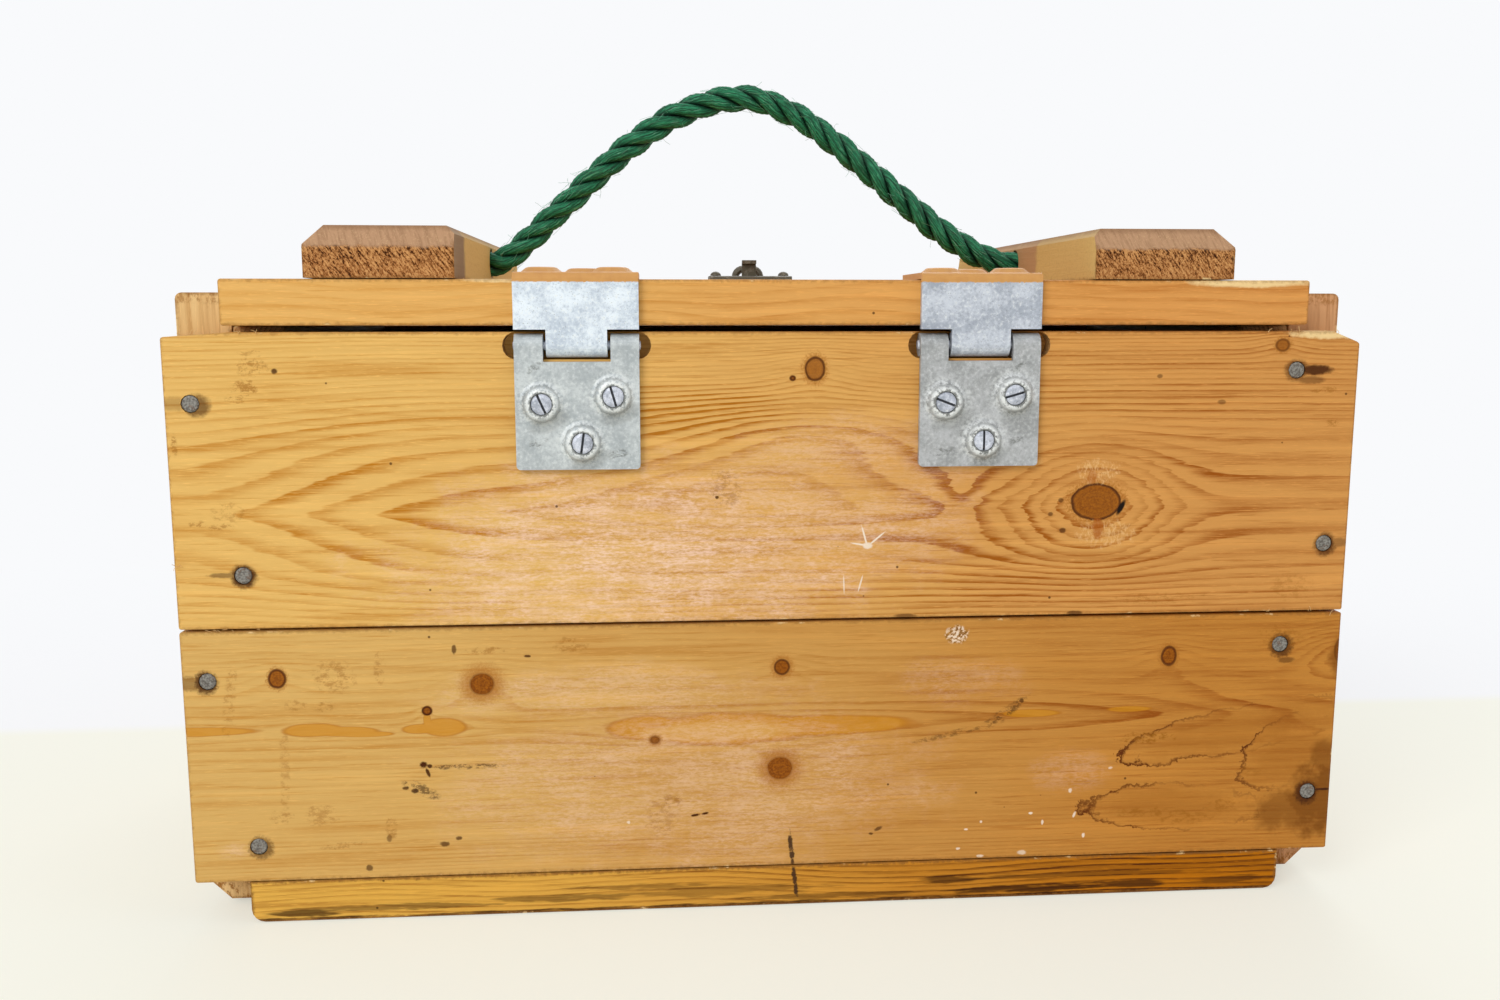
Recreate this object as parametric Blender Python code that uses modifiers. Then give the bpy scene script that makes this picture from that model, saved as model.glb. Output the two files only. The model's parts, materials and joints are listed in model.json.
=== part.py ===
"""Wooden military crate: a nailed pine box with a hinged lid, a rope handle and a toggle latch.

Metres, +Z up. X runs along the crate, -Y is the hinge side and +Y the latch side. The origin is on the underside, at
the middle of the bottom boards. Pieces that move hang on empties that stand on their joints' axes.
"""

import math

import bmesh
import bpy
from mathutils import Matrix, Vector

# Clearances
SEAT_GAP = 0.0003
PIN_CLEARANCE = 0.0003
ROPE_CLEARANCE = 0.0005
LID_END_GAP = 0.0014
BOTTOM_END_GAP = 0.0008
SIDE_SEAM = 0.0010
END_SEAM = 0.0015
BOTTOM_SEAM = 0.0015
LID_SEAM = 0.0012

# Box
BOX_LENGTH = 0.450
BOX_DEPTH = 0.222
SIDE_THICKNESS = 0.018
LOWER_SIDE_HEIGHT = 0.0986
UPPER_SIDE_HEIGHT = 0.1100
BOTTOM_THICKNESS = 0.0162
MIDDLE_BOTTOM_WIDTH = 0.075
BOTTOM_CORNER = 0.005
CLEAT_THICKNESS = 0.020
CLEAT_WIDTH = 0.050
CLEAT_RISE = 0.0145
CLEAT_FOOT = 0.0015
CLEAT_TOP_ROUND = 0.0025
CLEAT_FOOT_CHAMFER = 0.0075
END_THICKNESS = 0.019
LOWER_END_HEIGHT = 0.1045
WORN_LEFT_LENGTH = 0.0240
WORN_LEFT_DROP = 0.0017
WORN_RIGHT_LENGTH = 0.0110
WORN_RIGHT_DROP = 0.0044
BOARD_EDGE = 0.0010

# Lid, battens and rope
LID_GAP = 0.0024
LID_THICKNESS = 0.0168
REAR_LID_WIDTH = 0.116
BATTEN_SPACING = 0.2384
BATTEN_WIDTH = 0.054
BATTEN_HEIGHT = 0.019
BATTEN_OUTER_CHAMFER = 0.0070
BATTEN_INNER_CHAMFER = 0.0030
BATTEN_END_CHAMFER_DEPTH = 0.0045
BATTEN_END_CHAMFER_HEIGHT = 0.0080
ROPE_RADIUS = 0.006
ROPE_AXIS_RISE = 0.0093
KNOT_RADIUS = 0.0090
KNOT_LENGTH = 0.0165
ROPE_STEP = 0.011

# Hinges
HINGE_OFFSET = 0.0755
LEAF_WIDTH = 0.0458
LEAF_THICKNESS = 0.0023
LEAF_CORNER = 0.0015
LOWER_LEAF_DROP = 0.0458
FLANGE_DEPTH = 0.0385
FLANGE_BEND = 0.0024
HINGE_PIN_RADIUS = 0.0018
HINGE_PIN_DROP = 0.0050
HINGE_PIN_PROUD = 0.0006
KNUCKLE_SPACE = 0.0015
TAB_WIDTH = 0.0224
TAB_CLEARANCE = 0.0012
MORTISE_END = 0.0044
MORTISE_CLEARANCE = 0.0007
BOSS_RADIUS = 0.0085
BOSS_RIM_RADIUS = 0.0050
BOSS_HEIGHT = 0.0020
BOSS_RINGS = 4
BOSS_SPREAD = 0.0132
NEAR_BOSS = 0.0200
BOSS_STAGGER = 0.0027
FAR_BOSS = 0.0359
FAR_BOSS_SHIFT = 0.0016
FLANGE_NEAR_BOSS = 0.0126
FLANGE_FAR_BOSS = 0.0284

# Fasteners
SCREW_HEAD_RADIUS = 0.0039
SCREW_HEAD_DOME = 0.0004
SCREW_RECESS = 0.0006
SCREW_RADIUS = 0.0019
SCREW_LENGTH = 0.0160
SLOT_WIDTH = 0.0009
SLOT_DEPTH = 0.0010
ROUND_HEAD_RADIUS = 0.0029
ROUND_HEAD_HEIGHT = 0.0022
ROUND_SCREW_RADIUS = 0.0015
ROUND_SCREW_GRIP = 0.0130
NAIL_HEAD_RADIUS = 0.0031
NAIL_HEAD_THICKNESS = 0.0010
NAIL_RADIUS = 0.0014
NAIL_LENGTH = 0.045
OUTER_NAIL_INSET = 0.0095
INNER_NAIL_INSET = 0.0248

# Toggle latch
LATCH_X = 0.004
BASE_WIDTH = 0.034
BASE_HEIGHT = 0.046
BASE_THICKNESS = 0.0020
BASE_SCREW_INSET = 0.0045
LEVER_AXIS_DROP = 0.0481
LEVER_AXIS_OUT = 0.0085
LEVER_PIN_RADIUS = 0.0019
EAR_RADIUS = 0.0048
EAR_THICKNESS = 0.0018
LEVER_HALF_WIDTH = 0.0086
LEVER_THICKNESS = 0.0017
LEVER_FRONT = 0.0066
LEVER_REACH = 0.052
LEVER_KICK = 0.0065
CRANK_OUT = 0.0005
CRANK_DROP = 0.012
CRANK_RADIUS = 0.0040
BAIL_RADIUS = 0.0020
BAIL_BAR_HALF = 0.0062
BAIL_FOOT_HALF = 0.0150
BAIL_RISE = 0.0107
BAIL_LEAN = 0.0060
BAIL_BEND = 0.0040
KEEPER_WIDTH = 0.0434
KEEPER_DEPTH = 0.020
KEEPER_HEIGHT = 0.0063
KEEPER_THICKNESS = 0.0016
KEEPER_BEND = 0.0022
KEEPER_SETBACK = 0.0015
KEEPER_SCREW_SPREAD = 0.0180
TONGUE_WIDTH = 0.0075
TONGUE_THICKNESS = 0.0018
TONGUE_RISE = 0.0085
TONGUE_HOOK = 0.0030
TONGUE_SETBACK = 0.0040

# Faces and levels that follow from the sizes above
HALF_LENGTH = BOX_LENGTH / 2
OUTER_FACE = BOX_DEPTH / 2
INNER_FACE = OUTER_FACE - SIDE_THICKNESS
SIDE_FOOT = BOTTOM_THICKNESS + SEAT_GAP
UPPER_FOOT = SIDE_FOOT + LOWER_SIDE_HEIGHT + SIDE_SEAM
RIM = UPPER_FOOT + UPPER_SIDE_HEIGHT
LID_FOOT = RIM + LID_GAP
LID_TOP = LID_FOOT + LID_THICKNESS
CLEAT_FACE = HALF_LENGTH - CLEAT_THICKNESS
BATTEN_FOOT = LID_TOP + SEAT_GAP
BATTEN_INNER = BATTEN_SPACING / 2
BATTEN_OUTER = BATTEN_INNER + BATTEN_WIDTH
ROPE_Z = BATTEN_FOOT + ROPE_AXIS_RISE
KNUCKLE_RADIUS = HINGE_PIN_RADIUS + PIN_CLEARANCE + LEAF_THICKNESS
LEAF_FACE = -(OUTER_FACE + SEAT_GAP + LEAF_THICKNESS)
HINGE_Y = LEAF_FACE + KNUCKLE_RADIUS
HINGE_Z = RIM - HINGE_PIN_DROP
FLANGE_TOP = LID_TOP + SEAT_GAP + LEAF_THICKNESS
LEVER_Y = OUTER_FACE + LEVER_AXIS_OUT
LEVER_Z = RIM - LEVER_AXIS_DROP
CRANK_Y = LEVER_Y + CRANK_OUT
CRANK_Z = LEVER_Z - CRANK_DROP
BASE_FACE = OUTER_FACE + SEAT_GAP + BASE_THICKNESS
KEEPER_TOP = LID_TOP + SEAT_GAP + KEEPER_HEIGHT

# The rope's line between the battens, at the middle of the lid: across, and above the hole's axis
ROPE_ARCH = [
    (-0.117, 0.0002),
    (-0.1115, 0.0025),
    (-0.103, 0.0096),
    (-0.080, 0.0310),
    (-0.057, 0.0512),
    (-0.033, 0.0662),
    (-0.006, 0.0727),
    (0.018, 0.0650),
    (0.041, 0.0491),
    (0.062, 0.0322),
    (0.084, 0.0148),
    (0.100, 0.0053),
    (0.1095, 0.0014),
    (0.117, 0.0001),
]

# Nails of the hinge side: end of the box, row, board and height above that board's foot
REAR_NAILS = [
    ("left", "outer", "upper", 0.0842),
    ("left", "inner", "upper", 0.0203),
    ("left", "outer", "lower", 0.0796),
    ("left", "inner", "lower", 0.0140),
    ("right", "inner", "upper", 0.0951),
    ("right", "outer", "upper", 0.0270),
    ("right", "inner", "lower", 0.0860),
    ("right", "outer", "lower", 0.0244),
]

# How far each screw's slot is turned, in degrees, by the leaf and the hinge
SLOT_TURNS = {
    ("left_hinge", "lower"): {"left": -66, "right": -74, "middle": 82},
    ("right_hinge", "lower"): {"left": -21, "right": 16, "middle": 90},
    ("left_hinge", "upper"): {"left": 20, "right": -65, "middle": 35},
    ("right_hinge", "upper"): {"left": 70, "right": 5, "middle": -40},
}

UPRIGHT = (math.pi / 2, 0, 0)
CROSSWISE = (math.pi / 2, 0, math.pi / 2)
ALONG_X = (0, math.pi / 2, 0)
INTO_REAR = (math.pi / 2, 0, 0)
INTO_FRONT = (-math.pi / 2, 0, 0)
DOWNWARD = (0, 0, 0)
SIDES = {"left": -1, "right": 1}


# Scene and finishes


def clear_scene():
    for obj in list(bpy.data.objects):
        bpy.data.objects.remove(obj)


def new_collection(name):
    group = bpy.data.collections.new(name)
    bpy.context.scene.collection.children.link(group)
    return group


def new_finish(name, colour, roughness, metallic=0.0):
    finish = bpy.data.materials.new(name)
    finish.use_nodes = True
    shader = finish.node_tree.nodes["Principled BSDF"]
    shader.inputs["Base Color"].default_value = (*colour, 1.0)
    shader.inputs["Roughness"].default_value = roughness
    shader.inputs["Metallic"].default_value = metallic
    return finish


clear_scene()
PARTS = new_collection("wooden_military_crate")
CUTTERS = new_collection("cutters")
PINE = new_finish("pine", (0.62, 0.37, 0.13), 0.55)
ORANGE_PINE = new_finish("orange_pine", (0.52, 0.27, 0.08), 0.5)
GREY_PINE = new_finish("weathered_pine", (0.40, 0.28, 0.17), 0.75)
ZINC = new_finish("galvanised_steel", (0.56, 0.56, 0.53), 0.45, 1.0)
IRON = new_finish("olive_painted_steel", (0.13, 0.12, 0.09), 0.5)
NAIL_STEEL = new_finish("nail_steel", (0.33, 0.31, 0.29), 0.5, 1.0)
ROPE_GREEN = new_finish("green_polypropylene", (0.045, 0.085, 0.05), 0.6)


# Building tools


def add_object(name, data, location, rotation, finish, pivot):
    """Put mesh or curve data in the scene: a part if it has a finish, otherwise a hidden cutter."""
    obj = bpy.data.objects.new(name, data)
    obj.location = location
    obj.rotation_euler = rotation
    if pivot is not None:
        obj.parent = pivot
        obj.matrix_parent_inverse = Matrix.Translation(pivot.location).inverted()
    if finish is None:
        CUTTERS.objects.link(obj)
        obj.hide_render = True
        obj.display_type = "WIRE"
    else:
        PARTS.objects.link(obj)
        data.materials.append(finish)
    return obj


def new_pivot(name, location, parent=None):
    pivot = bpy.data.objects.new(name, None)
    pivot.location = location
    pivot.empty_display_size = 0.03
    if parent is not None:
        pivot.parent = parent
        pivot.matrix_parent_inverse = Matrix.Translation(parent.location).inverted()
    PARTS.objects.link(pivot)
    return pivot


def mesh_from(bm, name, smooth=False):
    mesh = bpy.data.meshes.new(name)
    bm.to_mesh(mesh)
    bm.free()
    if smooth:
        mesh.shade_smooth()
        mesh.set_sharp_from_angle(angle=math.radians(35))
    return mesh


def soften(obj, width, segments=2):
    modifier = obj.modifiers.new("worn_edges", "BEVEL")
    modifier.width = width
    modifier.segments = segments
    modifier.limit_method = "ANGLE"
    modifier.angle_limit = math.radians(30)


def boolean(target, tool, operation):
    modifier = target.modifiers.new(f"{operation.lower()}_{tool.name}", "BOOLEAN")
    modifier.operation = operation
    modifier.solver = "EXACT"
    modifier.object = tool


def cut(target, *tools):
    for tool in tools:
        boolean(target, tool, "DIFFERENCE")


def join(target, *tools):
    for tool in tools:
        boolean(target, tool, "UNION")


def cuboid(name, low, high, finish=None, pivot=None, edge=0.0):
    """A box between two corners."""
    low = Vector(low)
    high = Vector(high)
    bm = bmesh.new()
    bmesh.ops.create_cube(bm, size=1.0)
    bmesh.ops.scale(bm, vec=high - low, verts=bm.verts)
    obj = add_object(name, mesh_from(bm, name), (low + high) / 2, (0, 0, 0), finish, pivot)
    if edge:
        soften(obj, edge)
    return obj


def cylinder(name, radius, length, centre, rotation, finish=None, pivot=None, top_radius=None, sides=24):
    """A round bar, or a cone if its two ends differ, along its own Z."""
    far_radius = radius if top_radius is None else top_radius
    bm = bmesh.new()
    bmesh.ops.create_cone(
        bm, cap_ends=True, segments=sides, radius1=radius, radius2=far_radius, depth=length
    )
    return add_object(name, mesh_from(bm, name, smooth=True), centre, rotation, finish, pivot)


def round_corners(points, radius, closed=True, steps=4):
    """The points with an arc at each corner. radius is one value, or one for each corner with 0 for a sharp one."""
    corners = [Vector(point) for point in points]
    radii = radius if isinstance(radius, list) else [radius] * len(corners)
    result = []
    for index, corner in enumerate(corners):
        is_end = not closed and index in (0, len(corners) - 1)
        if is_end or radii[index] == 0:
            result.append(corner)
            continue
        before = (corners[index - 1] - corner).normalized()
        after = (corners[(index + 1) % len(corners)] - corner).normalized()
        half = before.angle(after) / 2
        setback = radii[index] / math.tan(half)
        centre = corner + (before + after).normalized() * (radii[index] / math.sin(half))
        start = corner + before * setback - centre
        end = corner + after * setback - centre
        sweep = start.angle(end)
        for step in range(steps + 1):
            share = step / steps
            turned_arm = start * math.sin((1 - share) * sweep) + end * math.sin(share * sweep)
            result.append(centre + turned_arm / math.sin(sweep))
    return result


def mesh_of_curve(name, curve):
    """A closed mesh of a curve with its caps welded on."""
    obj = bpy.data.objects.new(name, curve)
    bpy.context.scene.collection.objects.link(obj)
    evaluated = obj.evaluated_get(bpy.context.evaluated_depsgraph_get())
    mesh = bpy.data.meshes.new_from_object(evaluated)
    bpy.data.objects.remove(obj)
    bm = bmesh.new()
    bm.from_mesh(mesh)
    bmesh.ops.remove_doubles(bm, verts=bm.verts, dist=0.00001)
    bmesh.ops.recalc_face_normals(bm, faces=bm.faces)
    bm.to_mesh(mesh)
    bm.free()
    return mesh


def outline_solid(name, outline, thickness, offset, rotation, finish=None, pivot=None, edge=0.0):
    """A flat outline with thickness. UPRIGHT reads it as X and Z, CROSSWISE as Y and Z; offset places its middle."""
    curve = bpy.data.curves.new(name, "CURVE")
    curve.dimensions = "2D"
    curve.fill_mode = "BOTH"
    curve.extrude = thickness / 2
    spline = curve.splines.new("POLY")
    spline.points.add(len(outline) - 1)
    for point, (across, up) in zip(spline.points, outline):
        point.co = (across, up, 0, 1)
    spline.use_cyclic_u = True
    location = (0, offset, 0) if rotation == UPRIGHT else (offset, 0, 0)
    obj = add_object(name, mesh_of_curve(f"{name}_outline", curve), location, rotation, finish, pivot)
    if edge:
        soften(obj, edge)
    return obj


def turned(name, profile, location, rotation, finish=None, pivot=None, steps=16):
    """A turned piece: radius and height points from the top of its axis down its outer side to the foot."""
    bm = bmesh.new()
    points = [bm.verts.new((radius, 0, height)) for radius, height in profile]
    for first, second in zip(points, points[1:]):
        bm.edges.new((first, second))
    obj = add_object(name, mesh_from(bm, name), location, rotation, finish, pivot)
    modifier = obj.modifiers.new("turned", "SCREW")
    modifier.axis = "Z"
    modifier.angle = math.tau
    modifier.steps = steps
    modifier.render_steps = steps
    modifier.use_merge_vertices = True
    modifier.merge_threshold = 0.00001
    modifier.use_smooth_shade = True
    return obj


def tube_curve(name, points, radius, sides_level):
    curve = bpy.data.curves.new(name, "CURVE")
    curve.dimensions = "3D"
    curve.bevel_depth = radius
    curve.bevel_resolution = sides_level
    curve.use_fill_caps = True
    spline = curve.splines.new("POLY")
    spline.points.add(len(points) - 1)
    for point, place in zip(spline.points, points):
        point.co = (*place, 1)
    return curve


def smooth_route(points, step):
    """Points about one step apart on a smooth curve through the given ones."""
    knots = [Vector(point) for point in points]
    fine = []
    for index in range(len(knots) - 1):
        before = knots[max(index - 1, 0)]
        start = knots[index]
        end = knots[index + 1]
        after = knots[min(index + 2, len(knots) - 1)]
        for part in range(20):
            t = part / 20
            fine.append(
                0.5
                * (
                    2 * start
                    + (end - before) * t
                    + (2 * before - 5 * start + 4 * end - after) * t**2
                    + (3 * start - before - 3 * end + after) * t**3
                )
            )
    fine.append(knots[-1])
    route = [fine[0]]
    travelled = 0.0
    for first, second in zip(fine, fine[1:]):
        travelled += (second - first).length
        if travelled >= step:
            route.append(second)
            travelled = 0.0
    if (route[-1] - fine[-1]).length < step / 2:
        route.pop()
    route.append(fine[-1])
    return route


# Fasteners: each comes with the hole that it goes in


def countersunk_profile(grow, rise):
    """Radius and height of a countersunk screw, head face at 0. The hole is the same line, grown, with an open top."""
    cone = SCREW_HEAD_RADIUS - SCREW_RADIUS
    head = SCREW_HEAD_RADIUS + grow
    shank = SCREW_RADIUS + grow
    tip = -SCREW_LENGTH - grow
    return [
        (0, rise),
        (head * 0.7 if grow == 0 else head, rise * 0.75 if grow == 0 else rise),
        (head, -grow),
        (shank, -cone - grow),
        (shank, tip + SCREW_RADIUS),
        (0, tip),
    ]


def round_head_profile(grow, grip):
    """Radius and height of a round-headed screw, underside of the head at 0. The hole holds only the shank."""
    shank = ROUND_SCREW_RADIUS + grow
    tip = -grip - grow
    foot = [(shank, tip + ROUND_SCREW_RADIUS), (0, tip)]
    if grow:
        return [(0, SEAT_GAP), (shank, SEAT_GAP), *foot]
    dome = []
    for step in range(5):
        angle = math.pi / 2 * (1 - step / 4)
        dome.append((ROUND_HEAD_RADIUS * math.cos(angle), ROUND_HEAD_HEIGHT * math.sin(angle)))
    dome[0] = (0, ROUND_HEAD_HEIGHT)
    return [*dome, (shank, 0), *foot]


def nail_profile(grow):
    """Radius and height of a nail, head face at 0."""
    head = NAIL_HEAD_RADIUS + grow
    shank = NAIL_RADIUS + grow
    tip = -NAIL_LENGTH - grow
    top = [(0, 0), (head * 0.85, 0), (head, -NAIL_HEAD_THICKNESS * 0.3)]
    if grow:
        top = [(0, SEAT_GAP), (head, SEAT_GAP)]
    return [
        *top,
        (head, -NAIL_HEAD_THICKNESS - grow),
        (shank, -NAIL_HEAD_THICKNESS - grow),
        (shank, tip + 2 * NAIL_RADIUS),
        (0, tip),
    ]


def slot_cutter(name, location, rotation, pivot):
    """The blade slot of a screw head, turned with the head."""
    slot = cuboid(
        f"{name}_slot",
        (-2 * SCREW_HEAD_RADIUS, -SLOT_WIDTH / 2, -SLOT_DEPTH / 2),
        (2 * SCREW_HEAD_RADIUS, SLOT_WIDTH / 2, SLOT_DEPTH / 2 + SCREW_HEAD_DOME + SEAT_GAP),
        pivot=pivot,
    )
    middle = Vector(slot.location)
    middle.rotate(rotation)
    slot.location = Vector(location) + middle
    slot.rotation_euler = rotation
    return slot


def slotted_screw(name, location, direction, slot_angle, holds, pivot=None):
    """A countersunk wood screw in the pieces that it holds together."""
    spin = Matrix.Rotation(slot_angle, 3, "Z")
    aim = Matrix.Rotation(direction[0], 3, "X")
    rotation = (aim @ spin).to_euler()
    screw = turned(name, countersunk_profile(0, SCREW_HEAD_DOME), location, rotation, ZINC, pivot, steps=14)
    cut(screw, slot_cutter(name, location, rotation, pivot))
    hole_profile = countersunk_profile(PIN_CLEARANCE, SCREW_RECESS + SEAT_GAP)
    hole = turned(f"{name}_hole", hole_profile, location, rotation, pivot=pivot, steps=12)
    for piece in holds:
        cut(piece, hole)


def round_screw(name, location, direction, grip, holds, pivot=None):
    """A round-headed screw in the pieces that it holds together."""
    turned(name, round_head_profile(0, grip), location, direction, IRON, pivot, steps=12)
    hole = turned(
        f"{name}_hole", round_head_profile(PIN_CLEARANCE, grip), location, direction, pivot=pivot, steps=12
    )
    for piece in holds:
        cut(piece, hole)


# Box


def side_board(name, facing, foot, height, worn=False):
    """One long board of a side. facing is -1 on the hinge side and 1 on the latch side."""
    top = foot + height
    outline = [(-HALF_LENGTH, foot), (HALF_LENGTH, foot)]
    if worn:
        outline += [
            (HALF_LENGTH, top - WORN_RIGHT_DROP),
            (HALF_LENGTH - WORN_RIGHT_LENGTH, top),
            (-HALF_LENGTH + WORN_LEFT_LENGTH, top),
            (-HALF_LENGTH, top - WORN_LEFT_DROP),
        ]
    else:
        outline += [(HALF_LENGTH, top), (-HALF_LENGTH, top)]
    middle = facing * (OUTER_FACE - SIDE_THICKNESS / 2)
    return outline_solid(name, outline, SIDE_THICKNESS, middle, UPRIGHT, PINE, edge=BOARD_EDGE)


def make_sides():
    boards = {}
    for place, facing in (("rear", -1), ("front", 1)):
        boards[place, "lower"] = side_board(f"{place}_lower_board", facing, SIDE_FOOT, LOWER_SIDE_HEIGHT)
        boards[place, "upper"] = side_board(
            f"{place}_upper_board", facing, UPPER_FOOT, UPPER_SIDE_HEIGHT, worn=place == "rear"
        )
    return boards


def make_end_boards():
    """Two boards at each end, standing on the bottom and carrying the lid."""
    boards = {}
    half_width = INNER_FACE - SEAT_GAP
    seam = SIDE_FOOT + LOWER_END_HEIGHT
    levels = {"lower": (SIDE_FOOT, seam), "upper": (seam + END_SEAM, LID_FOOT - SEAT_GAP)}
    outer = CLEAT_FACE - SEAT_GAP
    inner = outer - END_THICKNESS
    for end, way in SIDES.items():
        near, far = sorted((way * inner, way * outer))
        for level, (foot, top) in levels.items():
            boards[end, level] = cuboid(
                f"{end}_end_{level}_board",
                (near, -half_width, foot),
                (far, half_width, top),
                PINE,
                edge=BOARD_EDGE,
            )
    return boards


def make_cleats():
    """Upright cleats in the corners outside the end boards; their tops hold the lid between them."""
    cleats = {}
    top = RIM + CLEAT_RISE
    outer_edge = INNER_FACE - SEAT_GAP
    for end, way in SIDES.items():
        outline = [
            (way * CLEAT_FACE, CLEAT_FOOT),
            (way * (HALF_LENGTH - CLEAT_FOOT_CHAMFER), CLEAT_FOOT),
            (way * HALF_LENGTH, CLEAT_FOOT + CLEAT_FOOT_CHAMFER),
            (way * HALF_LENGTH, top),
            (way * CLEAT_FACE, top),
        ]
        outline = round_corners(outline, [0, 0, 0, CLEAT_TOP_ROUND, CLEAT_TOP_ROUND])
        for place, facing in (("rear", -1), ("front", 1)):
            middle = facing * (outer_edge - CLEAT_WIDTH / 2)
            cleats[place, end] = outline_solid(
                f"{place}_{end}_cleat", outline, CLEAT_WIDTH, middle, UPRIGHT, PINE
            )
    return cleats


def make_bottom():
    """Three boards under the sides, between the feet of the cleats."""
    half = CLEAT_FACE - BOTTOM_END_GAP
    corners = [(-half, 0), (half, 0), (half, BOTTOM_THICKNESS), (-half, BOTTOM_THICKNESS)]
    outline = round_corners(corners, [BOTTOM_CORNER, BOTTOM_CORNER, 0, 0])
    inner_edge = MIDDLE_BOTTOM_WIDTH / 2 + BOTTOM_SEAM
    outer_width = OUTER_FACE - inner_edge
    outer_middle = inner_edge + outer_width / 2
    outline_solid("rear_bottom_board", outline, outer_width, -outer_middle, UPRIGHT, ORANGE_PINE)
    outline_solid("middle_bottom_board", outline, MIDDLE_BOTTOM_WIDTH, 0, UPRIGHT, ORANGE_PINE)
    outline_solid("front_bottom_board", outline, outer_width, outer_middle, UPRIGHT, ORANGE_PINE)


def make_rear_nails(sides, ends, cleats):
    """The nails of the hinge side: the outer row goes into the cleats and the inner row into the end boards."""
    insets = {"outer": OUTER_NAIL_INSET, "inner": INNER_NAIL_INSET}
    feet = {"upper": UPPER_FOOT, "lower": SIDE_FOOT}
    for end, row, level, height in REAR_NAILS:
        name = f"rear_nail_{end}_{level}_{row}"
        place = (SIDES[end] * (HALF_LENGTH - insets[row]), -OUTER_FACE, feet[level] + height)
        turned(name, nail_profile(0), place, INTO_REAR, NAIL_STEEL, steps=14)
        hole = turned(f"{name}_hole", nail_profile(PIN_CLEARANCE), place, INTO_REAR, steps=12)
        cut(sides["rear", level], hole)
        cut(cleats["rear", end] if row == "outer" else ends[end, level], hole)


# Lid, battens and rope


def make_lid(pivot):
    half = CLEAT_FACE - LID_END_GAP
    seam = REAR_LID_WIDTH - OUTER_FACE
    rear = cuboid(
        "rear_lid_board", (-half, -OUTER_FACE, LID_FOOT), (half, seam, LID_TOP), PINE, pivot, edge=BOARD_EDGE
    )
    front = cuboid(
        "front_lid_board",
        (-half, seam + LID_SEAM, LID_FOOT),
        (half, OUTER_FACE, LID_TOP),
        PINE,
        pivot,
        edge=BOARD_EDGE,
    )
    return rear, front


def make_batten(end, pivot):
    """A batten across the lid: chamfered along its top edges and at its ends, with a hole for the rope."""
    way = SIDES[end]
    top = BATTEN_FOOT + BATTEN_HEIGHT
    section = [
        (way * BATTEN_INNER, BATTEN_FOOT),
        (way * BATTEN_OUTER, BATTEN_FOOT),
        (way * BATTEN_OUTER, top - BATTEN_OUTER_CHAMFER),
        (way * (BATTEN_OUTER - BATTEN_OUTER_CHAMFER), top),
        (way * (BATTEN_INNER + BATTEN_INNER_CHAMFER), top),
        (way * BATTEN_INNER, top - BATTEN_INNER_CHAMFER),
    ]
    name = f"{end}_batten"
    batten = outline_solid(name, section, BOX_DEPTH, 0, UPRIGHT, GREY_PINE, pivot)
    middle = way * (BATTEN_INNER + BATTEN_OUTER) / 2
    for place, facing in (("rear", -1), ("front", 1)):
        wedge = [
            (facing * (OUTER_FACE - BATTEN_END_CHAMFER_DEPTH), top),
            (facing * OUTER_FACE, top - BATTEN_END_CHAMFER_HEIGHT),
            (facing * (OUTER_FACE + BATTEN_END_CHAMFER_DEPTH), top - BATTEN_END_CHAMFER_HEIGHT),
            (facing * (OUTER_FACE + BATTEN_END_CHAMFER_DEPTH), top + BATTEN_END_CHAMFER_HEIGHT),
            (facing * (OUTER_FACE - BATTEN_END_CHAMFER_DEPTH), top + BATTEN_END_CHAMFER_HEIGHT),
        ]
        cut(batten, outline_solid(f"{name}_{place}_chamfer", wedge, 2 * BATTEN_WIDTH, middle, CROSSWISE, pivot=pivot))
    hole = cylinder(
        f"{name}_rope_hole",
        ROPE_RADIUS + ROPE_CLEARANCE,
        2 * BATTEN_WIDTH,
        (middle, 0, ROPE_Z),
        ALONG_X,
        pivot=pivot,
    )
    cut(batten, hole)


def make_rope(pivot):
    """The rope: through both battens, with an arch between them and a wall knot on each end."""
    knot_seat = BATTEN_OUTER + SEAT_GAP
    reach = knot_seat + KNOT_LENGTH / 2
    line = [(-reach, 0, ROPE_Z), (-BATTEN_INNER, 0, ROPE_Z)]
    line += [(across, 0, ROPE_Z + up) for across, up in ROPE_ARCH]
    line += [(BATTEN_INNER, 0, ROPE_Z), (reach, 0, ROPE_Z)]
    route = smooth_route(line, ROPE_STEP)
    mesh = mesh_of_curve("rope_line", tube_curve("rope_line", route, ROPE_RADIUS, 3))
    mesh.shade_smooth()
    rope = add_object("rope_handle", mesh, (0, 0, 0), (0, 0, 0), ROPE_GREEN, pivot)
    bulge = [(0, KNOT_LENGTH)]
    for step in range(7):
        angle = math.pi * (step + 0.7) / 7.4
        bulge.append((KNOT_RADIUS * math.sin(angle) ** 0.6, KNOT_LENGTH / 2 * (1 + math.cos(angle))))
    bulge.append((0, 0))
    for end, way in SIDES.items():
        turn = (0, way * math.pi / 2, 0)
        join(rope, turned(f"rope_{end}_knot", bulge, (way * knot_seat, 0, ROPE_Z), turn, pivot=pivot, steps=18))
    length = sum((second - first).length for first, second in zip(route, route[1:]))
    print(f"rope between its knots: {length:.3f} m")


# Hinges


def knuckle(name, middle, length, pivot):
    return cylinder(f"{name}_knuckle", KNUCKLE_RADIUS, length, (middle, HINGE_Y, HINGE_Z), ALONG_X, pivot=pivot)


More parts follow.
